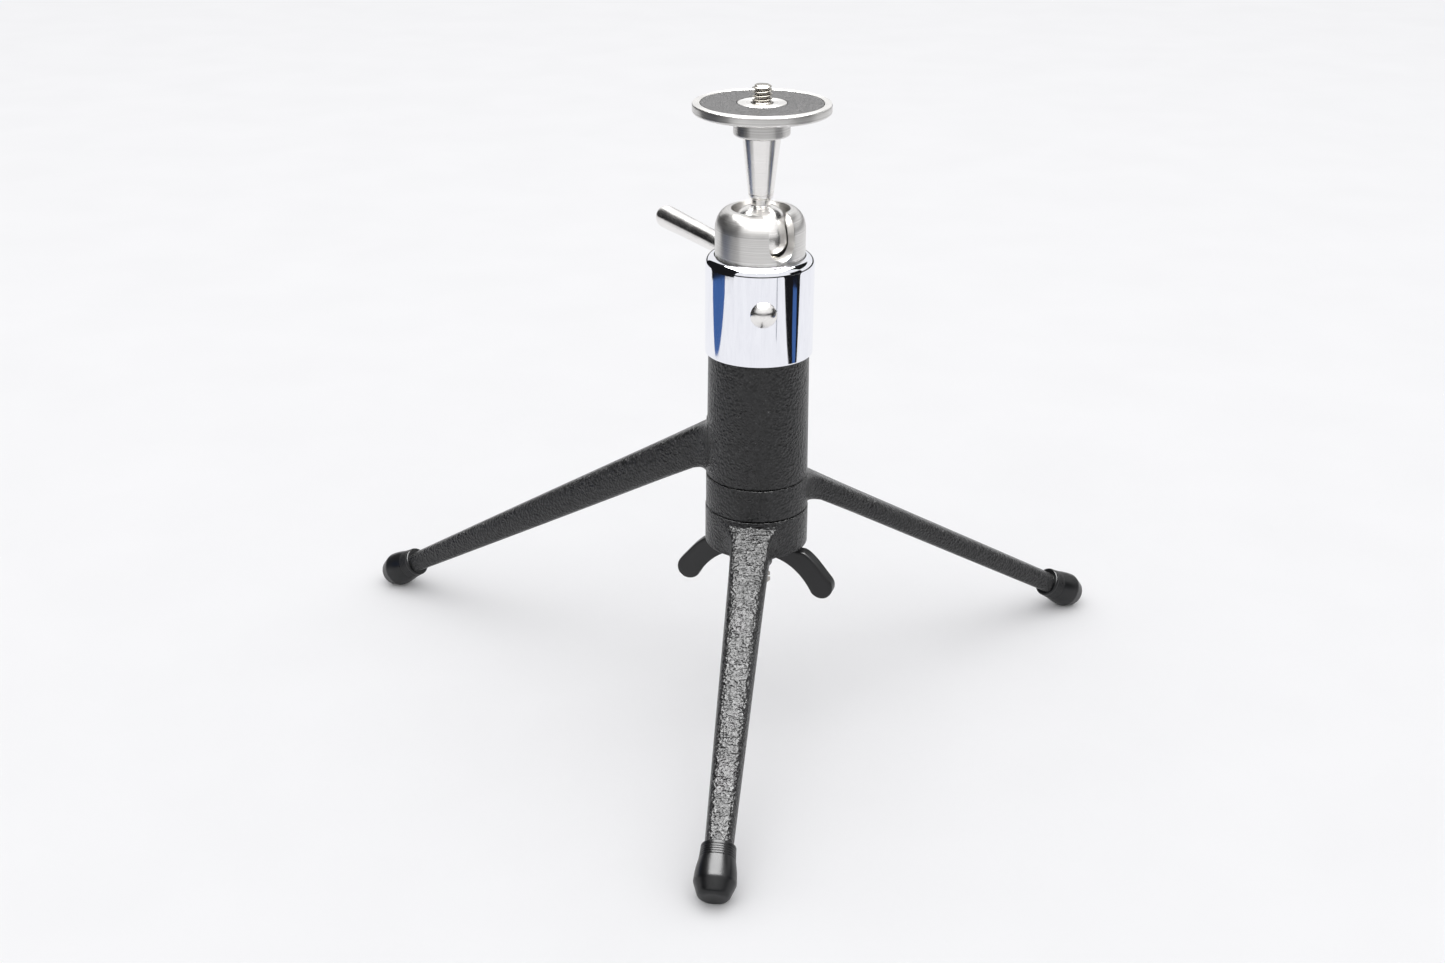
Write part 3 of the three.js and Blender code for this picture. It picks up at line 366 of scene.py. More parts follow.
ENAMEL = wrinkle_enamel()
PAINT = satin_paint()
RUBBER = boot_rubber()
CHROME = chrome_plate()
TURNED = turned_metal("aluminium, fine turned", "#E4E3E1", "#C6C4C1", 0.3, 0.38, 0.016)
POLISHED = turned_metal("aluminium, turned and polished", "#F6F4F2", "#E8E6E3", 0.2, 0.28, 0.008)
STEEL = plated_steel()
LEATHER = grained_leather()
FIBRE = pressed_fibre()


# ---- making meshes ----

def stitch(rows, around, looped, first_pole, last_pole):
    """Faces of a grid of rings: a quad between each ring and the next, the last column
    joined to the first, the last ring joined to the first if looped, and a fan of triangles
    where an end ring has shrunk to one point."""
    column = np.arange(around)
    after = (column + 1) % around
    quads = []
    for row in range(rows if looped else rows - 1):
        here, there = row * around, ((row + 1) % rows) * around
        quads.append(np.stack([here + column, here + after, there + after, there + column], 1))
    faces = np.concatenate(quads).tolist()
    count = rows * around
    if first_pole:
        faces += np.stack([after, column, np.full(around, count)], 1).tolist()
        count += 1
    if last_pole:
        last = (rows - 1) * around
        faces += np.stack([last + column, last + after, np.full(around, count)], 1).tolist()
    return faces


def volume(points, faces):
    """Signed volume: the sum of tetrahedra from the origin to each triangle of each face."""
    fans = [(f[0], f[i], f[i + 1]) for f in faces for i in range(1, len(f) - 1)]
    a, b, c = (points[np.array(fans)[:, i]] for i in range(3))
    return np.einsum("ij,ij->i", a, np.cross(b, c)).sum() / 6


def shell(rings, looped=False, first=None, last=None, lengths=None, across=None):
    """A closed surface from rings of points, shape (rows, around, 3) in mm, with the end
    points that close it. Returns points, outward faces and a UV for each point: the share
    of the way round, or across in metres if given, and how far along in metres."""
    rows, around, _ = rings.shape
    faces = stitch(rows, around, looped, first is not None, last is not None)
    points = rings.reshape(-1, 3)
    poles = [p for p in (first, last) if p is not None]
    if poles:
        points = np.concatenate([points, np.array(poles)])
    if lengths is None:
        lengths = np.arange(rows) * MM
    v = np.concatenate([np.repeat(lengths, around), [lengths[0]] * (first is not None),
                        [lengths[-1]] * (last is not None)])
    u = np.tile(np.arange(around) / around, rows) if across is None else across.ravel()
    u = np.concatenate([u, [0.5] * len(poles)])
    if volume(points, faces) < 0:
        faces = [f[::-1] for f in faces]
    return points, faces, np.stack([u, v], 1)


def make(name, shells, finish, body, nodes, crease=32):
    """One piece from closed shells, in mm: smooth except across edges sharper than crease
    degrees, with the UV map that turned finishes follow."""
    offset, points, faces, uvs = 0, [], [], []
    for part_points, part_faces, part_uv in shells:
        points.append(part_points)
        uvs.append(part_uv)
        faces += [[i + offset for i in f] for f in part_faces]
        offset += len(part_points)
    mesh = bpy.data.meshes.new(name)
    mesh.from_pydata((np.concatenate(points) * MM).tolist(), [], faces)
    corner = np.zeros(len(mesh.loops), np.int32)
    mesh.loops.foreach_get("vertex_index", corner)
    uv = np.concatenate(uvs)[corner]
    start = np.zeros(len(mesh.polygons), np.int32)
    count = np.zeros(len(mesh.polygons), np.int32)
    mesh.polygons.foreach_get("loop_start", start)
    mesh.polygons.foreach_get("loop_total", count)
    most = np.repeat(np.maximum.reduceat(uv[:, 0], start), count)
    wraps = (most > 0.9) & (uv[:, 0] < 0.1)
    uv[wraps, 0] += 1.0
    layer = mesh.uv_layers.new(name="turning")
    layer.data.foreach_set("uv", uv.astype(np.float32).ravel())
    mesh.polygons.foreach_set("use_smooth", np.ones(len(mesh.polygons), bool))
    mesh.set_sharp_from_angle(angle=np.radians(crease))
    mesh.materials.append(finish)
    piece = bpy.data.objects.new(name, mesh)
    bpy.context.scene.collection.objects.link(piece)
    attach(piece, body)
    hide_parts(*nodes)
    return piece


def eased(corners, closed=False):
    """An outline of (radius, height, rounding) corners. Each corner with a rounding is
    replaced by a short curve that leaves one side and joins the other."""
    out, count = [], len(corners)
    for i, (r, z, rounding) in enumerate(corners):
        here = np.array([r, z], float)
        ends = i in (0, count - 1) and not closed
        if ends or rounding <= 0:
            out.append(here)
            continue
        before = np.array(corners[i - 1][:2], float) - here
        after = np.array(corners[(i + 1) % count][:2], float) - here
        to_before, to_after = np.linalg.norm(before), np.linalg.norm(after)
        reach = min(rounding, 0.48 * to_before, 0.48 * to_after)
        a, b = here + before / to_before * reach, here + after / to_after * reach
        steps = 3 + int(6 * min(1.0, rounding / 2))
        for s in np.linspace(0, 1, steps + 1):
            out.append((1 - s) ** 2 * a + 2 * s * (1 - s) * here + s**2 * b)
    return np.array(out)


def bow(centre_r, centre_z, radius, start, end, steps):
    """Corners along an arc from one angle to another, in degrees."""
    angle = np.radians(np.linspace(start, end, steps + 1))
    r, z = centre_r + radius * np.cos(angle), centre_z + radius * np.sin(angle)
    return [(a, b, 0) for a, b in zip(r, z)]


def held(outline, closed):
    """The outline with a point added 0.2 mm from both ends of each side over 1 mm long, so
    that a flat side stays flat in the shading right up to its rounded edges."""
    after = np.roll(outline, -1, axis=0) if closed else outline[1:]
    out = []
    for here, there in zip(outline, after):
        out.append(here)
        length = np.linalg.norm(there - here)
        if length > 1.0:
            out += [here + (there - here) * share for share in (0.2 / length, 1 - 0.2 / length)]
    if not closed:
        out.append(outline[-1])
    return np.array(out)


def spun(outline, sides=160, closed=False):
    """A surface of revolution about +Z: each outline point (r, z) goes round a circle of
    radius r at height z. An outline that starts or ends on the axis closes at a pole."""
    outline = held(outline, closed)
    angle = np.arange(sides) * TURN / sides
    first = last = None
    if not closed and outline[0][0] < 1e-6:
        first, outline = [0, 0, outline[0][1]], outline[1:]
    if not closed and outline[-1][0] < 1e-6:
        last, outline = [0, 0, outline[-1][1]], outline[:-1]
    r, z = outline[:, 0][:, None], outline[:, 1][:, None]
    rings = np.stack([r * np.cos(angle), r * np.sin(angle), z + 0 * angle], 2)
    step = np.linalg.norm(np.diff(outline, axis=0), axis=1)
    lengths = np.concatenate([[0], np.cumsum(step)]) * MM
    return shell(rings, closed, first, last, lengths)


def moved(part, turn=np.eye(3), shift=AXIS):
    """A shell turned by a rotation matrix, then shifted."""
    points, faces, uv = part
    return points @ np.asarray(turn).T + shift, faces, uv


def outward(degrees, lean=0.0):
    """Rotation that lays +Z down to point outwards in a direction, leaning up by lean."""
    turn, rise = np.radians(degrees), np.radians(lean)
    z = np.array([np.cos(turn) * np.cos(rise), np.sin(turn) * np.cos(rise), np.sin(rise)])
    x = np.array([-np.sin(turn), np.cos(turn), 0])
    return np.stack([x, np.cross(z, x), z], 1)


def about_z(degrees):
    """Rotation about +Z."""
    a = np.radians(degrees)
    return np.array([[np.cos(a), -np.sin(a), 0], [np.sin(a), np.cos(a), 0], [0, 0, 1]])


# ---- legs ----

def boxy(value, squareness):
    """A sine or cosine bent so that a circle becomes a rounded oblong: 2 is a circle, and
    more is squarer."""
    return np.sign(value) * np.abs(value) ** (2 / squareness)


def leg_line(leg):
    """Root at the hub's wall, direction and boot mouth of a leg, in its own plane."""
    _, radius, _, _, rise, _, reach, _ = leg
    root, foot = np.array([radius, 0, rise]), np.array([reach, 0, FOOT_HEIGHT])
    direction = (foot - root) / np.linalg.norm(foot - root)
    return root, direction, foot - BOOT_MOUTH * direction


def arm(leg):
    """The tapered arm. Its sections are rounded oblongs that shrink evenly from the hub to
    the boot and tilt from upright to square with the line. Where it meets the hub each side
    runs out along a quarter of a circle that touches both the arm and the round wall, and
    the first ring lies on that wall: x is the square root of radius squared less y squared."""
    _, radius, hub_low, _, _, depth_root, _, crown = leg
    root, direction, mouth = leg_line(leg)
    start = root - direction * 1.6 / direction[0]
    end = mouth + direction * 0.5
    span = end[0] - start[0]
    around = 72
    phase = np.arange(around) * TURN / around

    def corner(x):
        """How square the section is: 10 at the hub, falling to 4 within 22 mm of it. The
        flanks lean in towards the top, by nothing at the hub and by a sixth of the half
        width from 22 mm on."""
        squareness = 4.0 + 6.0 * np.clip(1 - (x - radius) / ROOT_LENGTH, 0, 1) ** 2
        lift = boxy(np.sin(phase), squareness)
        lean = np.clip((x - radius) / ROOT_LENGTH, 0, 1) / 6
        return boxy(np.cos(phase), squareness) * (1 - lean * np.clip(lift, 0, 1)), lift

    def ring(x, half_width, x_of_side, extra=0.0):
        """One section: its points' x before the tilt, its half width, where along the arm
        its shape is taken, and how much higher and lower the root's fillet makes it."""
        side, lift = corner(x_of_side)
        share = (x_of_side - start[0]) / span
        centre = start + (end - start) * share
        depth = ARM_DEPTH_BOOT * share + depth_root * (1 - share) + 2 * extra
        up = (1 - share) * np.array([0, 0, 1.0]) + share * np.array([-direction[2], 0, direction[0]])
        rise = lift * depth / 2
        return np.stack([x + up[0] * rise, side * half_width, centre[2] + up[2] * rise], 1)

    def half_width(x):
        share = (x - start[0]) / span
        return (ARM_WIDTH_ROOT * (1 - share) + ARM_WIDTH_BOOT * share) / 2

    fillet = ROOT_FILLET
    w = half_width(radius + 3.5)
    centre_x = np.sqrt((radius + fillet) ** 2 - (w + fillet) ** 2)
    first_angle = np.arctan2(-(w + fillet), -centre_x)
    rings = []
    angles = np.linspace(first_angle, -np.pi / 2, 15)
    side_x = centre_x + fillet * np.cos(angles)
    side_y = w + fillet + fillet * np.sin(angles)
    widest = side_y[0]
    across_hub = corner(radius)[0] * widest
    bulge = np.sqrt(radius**2 - across_hub**2) - np.sqrt(radius**2 - widest**2)
    for i, (x, y) in enumerate(zip(side_x, side_y)):
        fade = 1 - (x - side_x[0]) / (side_x[-1] - side_x[0])
        middle = x + (radius - side_x[0]) * fade
        nearness = np.clip(1 - (middle - radius) / crown, 0, 1)
        extra = crown * (1 - np.sqrt(1 - nearness**2))
        if i == 0:
            rings.append(ring(x - 1.6 + bulge, y, radius, extra))
        rings.append(ring(x + bulge * fade, y, middle, extra))
    for x in np.linspace(centre_x, end[0], 34)[1:]:
        width = half_width(x)
        if x <= centre_x + 6:
            width = w + (width - w) * (x - centre_x) / 6
        rings.append(ring(x + 0 * phase, width, x))
    across = np.array([-direction[2], 0, direction[0]])
    peg = np.cos(phase)[:, None] * np.array([0, 1.0, 0]) + np.sin(phase)[:, None] * across
    peg_end = mouth + direction * PEG_DEPTH
    rings.append(end + PEG_RADIUS * peg)
    rings.append(peg_end + PEG_RADIUS * peg)
    first = [rings[0][:, 0].mean() - 0.1, 0, rings[0][:, 2].mean()]
    rings = np.array(rings)
    # Over the hub below, the root's underside stays above its own hub's lower face.
    over_hub = np.hypot(rings[:, :, 0], rings[:, :, 1]) < radius + 0.5
    floor = np.where(over_hub, hub_low + 0.05, -np.inf)
    rings[:, :, 2] = np.maximum(rings[:, :, 2], floor)
    steps = np.linalg.norm(np.diff(rings.mean(1), axis=0), axis=1)
    lengths = np.concatenate([[0], np.cumsum(steps)]) * MM
    return shell(rings, False, first, peg_end, lengths, rings[:, :, 1] * MM)


def hub_outline(node):
    """The hub's outline: bored for the spindle, with a broken edge at each face."""
    _, radius, low, high, *_ = LEGS[node]
    edge = 0.35
    if node == "upper_leg":
        return eased([
            (4.2, low + 1.0, 0), (9.3, low + 1.0, 0), (9.3, low, 0.1),
            (radius, low, edge), (radius - 0.4, high, edge),
            (11.8, high, 0.2), (11.8, high - 23.0, 0.2), (4.2, high - 23.0, 0),
        ], closed=True)
    foot = low + (2.2 if node == "lower_leg" else 1.0)
    return eased([
        (4.2, foot, 0), (9.3, foot, 0), (9.3, low, 0.1), (radius, low, edge),
        (radius, high, edge), (9.3, high, 0.1), (9.3, high - 1.0, 0), (4.2, high - 1.0, 0),
    ], closed=True)


def boot(leg):
    """A boot turned about the leg's line: a rounded lip with five faint moulded rings, a
    barrel that swells to a crisp edge, and a cone down to the end. Every point below the
    ground is raised to it, which flattens the sole."""
    _, direction, mouth = leg_line(leg)
    ringed = []
    for i in range(5):
        z = 1.3 + 0.75 * i
        widen = 0.05 * i
        ringed += [(5.33 + widen, z, 0), (5.26 + widen, z + 0.16, 0), (5.35 + widen, z + 0.32, 0)]
    outline = eased([
        (0, 10.3, 0), (3.3, 10.3, 0), (3.3, 0, 0.1), (5.3, 0, 1.2), *ringed,
        (6.25, 8.2, 2.0), (6.45, 11.7, 0.55), (4.6, 16.6, 1.3), (0, 16.6, 0),
    ])
    across = np.array([0, 1.0, 0])
    turn = np.stack([across, np.cross(direction, across), direction], 1)
    points, faces, uv = moved(spun(outline, 96), turn, mouth)
    points[:, 2] = np.maximum(points[:, 2], 0.0)
    return points, faces, uv


def build_legs():
    """Each leg: its casting, which is the hub and the arm, and its boot."""
    for node, leg in LEGS.items():
        turn = about_z(leg[0])
        shells = [moved(spun(hub_outline(node), 192, True)), moved(arm(leg), turn)]
        make(node + "_casting", shells, ENAMEL, LEG_BODY[node], [node])
        make(node + "_boot", [moved(boot(leg), turn)], RUBBER, LEG_BODY[node],
             [node + "_foot"], crease=50)


# ---- wing nut ----

def wing():
    """One wing, as (distance out, height from the nut's top). The top edge runs nearly
    level, bends down along a quadratic curve and runs straight at 50 degrees. The lower edge
    is one quadratic curve. Both then turn a quarter of a circle and meet at the nose. Each
    section between them is a rounded oblong 4.6 mm thick, thinner round the nose."""
    centre = np.array([23.5, -12.4])
    radius = 4.2
    slope = np.radians(50)

    def curve(a, b, c, steps):
        t = np.linspace(0, 1, steps)[:, None]
        return (1 - t) ** 2 * np.array(a) + 2 * t * (1 - t) * np.array(b) + t**2 * np.array(c)

    def nose(degrees):
        angle = np.radians(degrees)[:, None]
        return centre + radius * np.concatenate([np.cos(angle), np.sin(angle)], 1)

    turning = 90 * np.sin(np.linspace(0, np.pi / 2, 16))
    shoulder = np.array([17.2, -0.4])
    arc_top, arc_foot = nose(np.array([40.0, -140.0]))
    bend_end = arc_top - 6.5 * np.array([np.cos(slope), -np.sin(slope)])
    upper = np.concatenate([
        curve([4.6, 0.0], (shoulder + [4.6, 0.0]) / 2, shoulder, 9),
        curve(shoulder, shoulder + [2.0, -0.5], bend_end, 9)[1:],
        curve(bend_end, (bend_end + arc_top) / 2, arc_top, 6)[1:],
        nose(40 - turning)[1:],
    ])
    bar = len(upper) - 15
    lower = np.concatenate([curve([4.6, -3.2], [14.9, -4.8], arc_foot, bar), nose(-140 + turning)[1:]])
    half_thick = np.full(len(upper), 2.3)
    half_thick[bar - 1 :] -= 0.7 * (turning / 90) ** 8
    phase = np.arange(64) * TURN / 64
    deep, wide = boxy(np.sin(phase), 8.0), boxy(np.cos(phase), 8.0)
    middle, half = (upper + lower) / 2, (upper - lower) / 2
    x = middle[:, :1] + half[:, :1] * deep
    z = middle[:, 1:] + half[:, 1:] * deep + top("wing_nut")
    rings = np.stack([x, half_thick[:, None] * wide, z], 2)[:-1]
    root = [4.6, 0, top("wing_nut") - 1.6]
    return shell(rings, False, root, [middle[-1, 0], 0, middle[-1, 1] + top("wing_nut")])


def build_wing_nut():
    """The wing nut: a turned hub, bored for the spindle, and its two wings."""
    high = top("wing_nut")
    outline = eased([
        (4.2, high - 7.6, 0.1), (5.6, high - 7.6, 0.6), (5.7, high - 4.4, 1.0), (9.0, high - 3.2, 0.8),
        (9.6, high, 0.6), (4.2, high, 0.1),
    ], closed=True)
    shells = [moved(spun(outline, 96, True))]
    shells += [moved(wing(), about_z(turn)) for turn in WING_TURNS]
    make("wing_nut_forging", shells, PAINT, "wing_nut", ["wing_nut"], crease=40)


# ---- head ----

def build_collar():
    """The collar: a plated tube whose top turns in over a quarter of a circle."""
    low, high, shoulder = base("clamp_collar"), top("clamp_collar"), 2.8
    outline = eased([
        (15.9, low, 0.1), (17.5, low, 0.3),
        *bow(17.5 - shoulder, high - shoulder, shoulder, 0, 90, 18),
        (14.7, high - 3.0, 0.1), (15.9, high - 4.0, 0.1),
    ], closed=True)
    make("collar_tube", [moved(spun(outline, 256, True))], CHROME, "clamp_ring",
         ["clamp_collar"])


def build_pins():
    """Domed pins: a cap of a sphere 2.1 mm high on a 4.3 mm half width, on a plain shank."""
    height = (base("front_pin") + top("front_pin")) / 2
    half, tall = 4.3, 2.1
    big = (half**2 + tall**2) / (2 * tall)
    foot = 17.5
    centre = foot + tall - big
    edge = np.degrees(np.arcsin((foot + 0.15 - centre) / big))
    outline = eased([(0, 13.3, 0), (1.6, 13.3, 0.2), (1.6, foot, 0), (4.25, foot, 0.1),
                     *bow(0, centre, big, edge, 90, 16)])
    outline[-1, 0] = 0
    for node, turn in PIN_TURNS.items():
        placed = moved(spun(outline, 64), outward(turn), AXIS + [0, 0, height])
        make(node + "_dome", [placed], POLISHED, "clamp_ring", [node])


def build_lever():
    """The lever: a round rod that swells from 3.3 to 3.9 mm and ends in a round nose."""
    height = (base("lever") + top("lever")) / 2
    reach, tip = 63.4, 3.9
    outline = eased([(0, 14.9, 0), (2.2, 14.9, 0.2), (2.2, 17.2, 0), (3.25, 17.2, 0.2),
                     (3.3, 20.0, 0), (3.4, 34.0, 0), (3.62, 50.0, 0), (3.82, 58.0, 0),
                     *bow(0, reach, tip, 0, 90, 16)])
    outline[-1, 0] = 0
    placed = moved(spun(outline, 80), outward(LEVER_TURN), AXIS + [0, 0, height])
    make("lever_rod", [placed], POLISHED, "clamp_ring", ["lever"])


def shoulder_radius(over):
    """The housing's radius at a height over the start of its shoulder, which is a quarter of
    an ellipse."""
    wide, tall = HOUSING_SHOULDER
    return 14.4 - wide + wide * np.sqrt(1 - (over / tall) ** 2)


def slot_cutter(high):
    """The slot's channel: a half circle under the ball's centre and two uprights above it,
    carried outwards. Under the housing's surface, at a depth t less than the edge radius R,
    the channel widens by R - sqrt(R^2 - (R - t)^2), which rounds the slot's edge. The
    surface is the housing's wall and its shoulder."""
    half, edge = 4.4, 1.0
    angle = np.linspace(np.pi, TURN, 33)
    rise = np.linspace(0, high - BALL, 14)[1:]
    y = np.concatenate([[-1.0], -np.ones(13), np.cos(angle), np.ones(13), [1.0]])
    z = np.concatenate([[16.0], rise[::-1], half * np.sin(angle), rise, [16.0]])
    tall = HOUSING_SHOULDER[1]
    wall = shoulder_radius(np.clip(z - (high - tall - BALL), 0, tall))
    down = np.where(z < 0, z / half, 0)
    rings = [np.stack([np.full(len(y), 3.5), half * y, z], 1)]
    for depth in (edge, 0.6 * edge, 0.3 * edge, 0.12 * edge, 0.03 * edge, -1.5):
        inside = max(depth, 0)
        wider = edge - np.sqrt(edge**2 - (edge - inside) ** 2)
        rings.append(np.stack([wall - depth, (half + wider) * y, z + wider * down], 1))
    rings.append(rings[-1] * [0, 1, 1] + [18.0, 0, 0])
    middle = [[3.5, 0, 2.0], [18.0, 0, 2.0]]
    return moved(shell(np.array(rings), False, *middle), about_z(SLOT_TURN), AXIS + [0, 0, BALL])


def build_housing():
    """The ball's housing: turned about the column, then the slot is cut from it."""
    low, high = base("socket_housing"), top("socket_housing")
    step = top("cam_ring") + 0.3
    seat, tall = 10.8, HOUSING_SHOULDER[1]
    climb = tall * np.sin(np.radians(np.linspace(4, 88, 22)))
    mouth = np.degrees(np.arccos(9.5 / seat))
    outline = eased([
        (seat, low, 0.1), (12.7, low, 0.2), (12.7, step, 0), (14.4, step, 0.2),
        (14.4, high - tall, 0), *[(shoulder_radius(up), high - tall + up, 0) for up in climb],
        (9.3, high, 0.35), *bow(0, BALL, seat, mouth, 0, 12),
    ], closed=True)
    housing = make("housing_shell", [moved(spun(outline, 192, True))], TURNED,
                   "stand", ["socket_housing"])
    points, faces, _ = slot_cutter(high)
    mesh = bpy.data.meshes.new("slot")
    mesh.from_pydata((points * MM).tolist(), [], faces)
    cutter = bpy.data.objects.new("slot", mesh)
    bpy.context.scene.collection.objects.link(cutter)
    cut = housing.modifiers.new("slot", "BOOLEAN")
    cut.operation = "DIFFERENCE"
    cut.solver = "EXACT"
    cut.object = cutter
    seen = housing.evaluated_get(bpy.context.evaluated_depsgraph_get())
    carved = bpy.data.meshes.new_from_object(seen)
    housing.modifiers.clear()
    housing.data = carved
    bpy.data.objects.remove(cutter)
    carved.set_sharp_from_angle(angle=np.radians(32))


def build_ball_stem():
    """Ball, neck and stem in one turning: a sphere, a short neck, a cone that widens
    upwards, and a spigot that the platform spins on."""
    neck = np.degrees(np.arccos(3.2 / BALL_RADIUS))
    shoulder = BALL + 31.8
    outline = eased([
        *bow(0, BALL, BALL_RADIUS, -90, neck - 1, 60),
        (3.15, BALL + 10.15, 0.3), (3.1, BALL + 12.2, 0.25),
        (3.85, BALL + 12.6, 0.25), (3.95, BALL + 13.6, 0.05), (3.9, BALL + 13.75, 0.05),
        (4.02, BALL + 13.9, 0.05), (6.1, shoulder, 0.35), (4.6, shoulder, 0),
        (4.6, shoulder + 4.6, 0.2), (3.5, shoulder + 4.6, 0), (3.5, shoulder - 4.0, 0),
        (0, shoulder - 4.0, 0),
    ])
    outline[0, 0] = 0
    make("ball_and_stem", [moved(spun(outline, 160))], POLISHED, "ball_stem",
         ["ball_stem"])


def build_platform():
    """The platform: a boss under a broad disc, a ring left proud of the pad's recess, and a
    bright eye round the screw."""
    low, high = base("platform_disc"), top("platform_disc")
    floor = high - 1.3
    outline = eased([
        (4.9, low, 0.1), (8.9, low, 0.8), (8.9, low + 6.7, 0.5), (20.6, low + 6.7, 0.5),
        (21.6, low + 7.3, 0.3), (21.6, high, 0.55), (19.25, high, 0.2), (19.25, floor, 0),
        (7.65, floor, 0), (7.65, high, 0.15), (3.5, high, 0.2), (3.5, low + 4.6, 0),
        (4.9, low + 4.6, 0),
    ], closed=True)
    make("platform_plate", [moved(spun(outline, 256, True))], TURNED,
         "platform", ["platform_disc"])
    seat = floor + 0.3
    pad = eased([(7.85, seat, 0), (19.1, seat, 0), (19.1, high, 0.35), (7.85, high, 0.3)], closed=True)
    make("platform_leather", [moved(spun(pad, 192, True))], LEATHER, "platform",
         ["platform_pad"])


def build_screw():
    """The camera screw: the radius falls and rises by the thread's depth once in each pitch
    of height, and the pattern climbs one pitch in each turn, which makes the helical thread.
    A cone limits the radius at the top."""
    low, high = base("camera_screw"), top("camera_screw")
    foot = top("platform_disc") + 0.1
    z = np.concatenate([[low, foot - 0.01], np.linspace(foot, high, 110)])[:, None]
    angle = np.arange(72) * TURN / 72
    phase = ((z - foot) / SCREW_PITCH - angle / TURN) % 1.0
    groove = np.clip(1.3 - 2.6 * np.abs(phase - 0.5), 0, 1)
    groove = groove * groove * (3 - 2 * groove)
    runout = np.clip((z - foot) / 0.8, 0, 1)
    r = SCREW_RADIUS - THREAD_DEPTH * groove * runout
    r = np.minimum(r, 2.2 + np.clip((high - z) * 1.4, 0, 2))
    rings = np.stack([r * np.cos(angle), r * np.sin(angle), z + 0 * angle], 2)
    body = shell(rings, False, [0, 0, low], [0, 0, high])
    make("camera_screw_thread", [moved(body)], STEEL, "platform", ["camera_screw"],
         crease=60)


def finish_frame_nodes():
    """Gives the plain frame pieces that stay, mostly inside the head and hubs, their metal
    or fibre."""
    fibre = ("upper_friction_washer", "lower_friction_washer")
    for name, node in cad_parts.items():
        if node.hide_render:
            continue
        node.data.materials.clear()
        node.data.materials.append(FIBRE if name in fibre else STEEL)


# ---- floor, cards and light ----

def studio_paper():
    """Matt white studio paper, with the faint mottle of its fibres."""
    material, tree, shader, place = new_finish("paper, matt white")
    mottle = add(
        tree, "ShaderNodeTexNoise", None, {"Vector": place, "Scale": per_mm(60), "Detail": 2.0}
    ).outputs["Fac"]
    tree.links.new(ramp(tree, mottle, [(0.3, "#F3F3F4"), (0.7, "#F5F5F6")]), shader.inputs["Base Color"])
    shader.inputs["Roughness"].default_value = 1.0
    shader.inputs["Specular IOR Level"].default_value = 0.0
    return material


def lit_card(code, glow):
    """Card that gives off one even colour and nothing else."""
    material, tree, shader, _ = new_finish("card, evenly lit")
    shader.inputs["Base Color"].default_value = (0, 0, 0, 1)
    shader.inputs["Specular IOR Level"].default_value = 0.0
    shader.inputs["Emission Color"].default_value = linear(code)
    shader.inputs["Emission Strength"].default_value = glow
    return material


def reflected_only(name, points, faces, finish):
    """A studio card that only bright surfaces see, as a reflection."""
    mesh = bpy.data.meshes.new(name)
    mesh.from_pydata(points.tolist(), [], faces)
    mesh.materials.append(finish)
    card = bpy.data.objects.new(name, mesh)
    bpy.context.scene.collection.objects.link(card)
    card.visible_camera = False
    card.visible_diffuse = False
    card.visible_shadow = False
    card.visible_transmission = False


def curved_card(name, start, end, radius, low, high, finish, point=None):
    """A card bent round the object between two directions, in degrees. With a point, its
    lower edge climbs from that direction to both ends, to the share of the height given."""
    steps = 49
    degrees = np.linspace(start, end, steps)
    x, y = radius * np.cos(np.radians(degrees)), radius * np.sin(np.radians(degrees))
    foot = np.full(steps, low)
    if point:
        reach = np.where(degrees < point[0], point[0] - start, end - point[0])
        foot = low + point[1] * (high - low) * (np.abs(degrees - point[0]) / reach) ** 2.5
    points = np.concatenate([np.stack([x, y, z], 1) for z in (foot, np.full(steps, high))])
    i = np.arange(steps - 1)
    faces = np.stack([i, i + 1, i + 1 + steps, i + steps], 1).tolist()
    reflected_only(name, points, faces, finish)


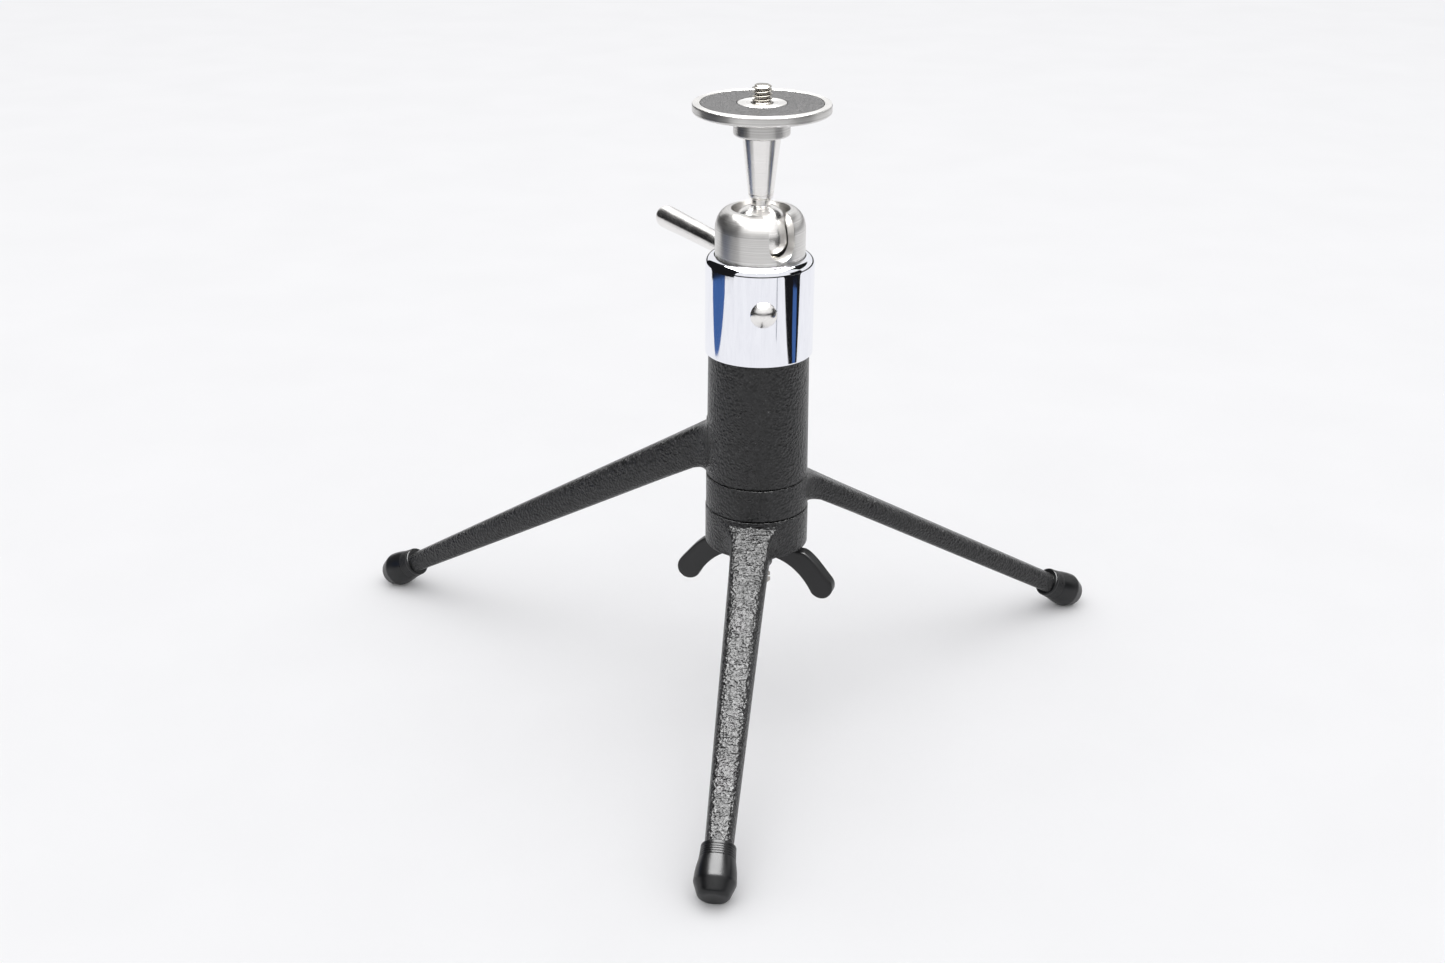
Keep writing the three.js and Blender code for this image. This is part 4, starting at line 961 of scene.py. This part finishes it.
def build_lights():
    """A broad weak light high overhead for soft shadows, and a bright panel under it that
    only glossy surfaces see."""
    data = bpy.data.lights.new("overhead soft box", "AREA")
    data.shape = "SQUARE"
    data.size = 2.0
    data.energy = 6.5
    lamp = bpy.data.objects.new("overhead soft box", data)
    bpy.context.scene.collection.objects.link(lamp)
    lamp.location = (0.0, 0.1, 2.2)
    lamp.visible_glossy = False
    half, height = 0.6, 1.1
    corners = np.array([(-half, -half, height), (half, -half, height), (half, half, height),
                        (-half, half, height)])
    reflected_only("overhead panel", corners, [(0, 1, 2, 3)], lit_card("#FFFFFF", 17.0))


def build_floor():
    """A square of white paper, 8 m wide."""
    half = 4.0
    mesh = bpy.data.meshes.new("floor")
    mesh.from_pydata([(-half, -half, 0), (half, -half, 0), (half, half, 0), (-half, half, 0)], [],
                     [(0, 1, 2, 3)])
    mesh.materials.append(studio_paper())
    floor = bpy.data.objects.new("floor", mesh)
    bpy.context.scene.collection.objects.link(floor)


def build_room():
    """The room that the bright metal reflects: a white surround, dark furniture to the left
    and right, and two blue chairs."""
    dark, blue = lit_card("#1A1A1C", 1.0), lit_card("#4669A6", 0.9)
    curved_card("blue chair left", 152, 190, 0.27, 0.034, 0.072, blue, (165, 0.8))
    curved_card("shelf left", 148, 214, 0.27, 0.072, 0.17, dark)
    curved_card("blue chair right", -15, -5, 0.29, 0.02, 0.066, blue, (-8, 0.5))
    curved_card("dark chair right", -38, 4, 0.30, 0.012, 0.12, dark, (-8, 0.6))
    curved_card("chair leg right", -53, -51, 0.31, 0.03, 0.12, lit_card("#A9ACB2", 1.0))
    curved_card("dark wall left", 122, 216, 0.9, 0.07, 1.7, dark)
    curved_card("dark wall right", -24, 6, 0.9, 0.05, 0.55, dark)
    curved_card("dark wall high right", 8, 60, 0.9, 0.6, 1.7, dark)
    curved_card("dark skirting front", 216, 336, 0.9, 0.04, 0.26, dark)
    curved_card("dark skirting back", 6, 150, 0.9, 0.1, 0.24, dark)
    world = bpy.data.worlds.new("white room")
    world.use_nodes = True
    world.node_tree.nodes["Background"].inputs["Color"].default_value = linear("#FAFAFB")
    world.node_tree.nodes["Background"].inputs["Strength"].default_value = 0.98
    bpy.context.scene.world = world
    bpy.context.scene.view_settings.view_transform = "Standard"


place_camera()
build_legs()
build_wing_nut()
build_collar()
build_pins()
build_lever()
build_housing()
build_ball_stem()
build_platform()
build_screw()
finish_frame_nodes()
build_floor()
build_lights()
build_room()
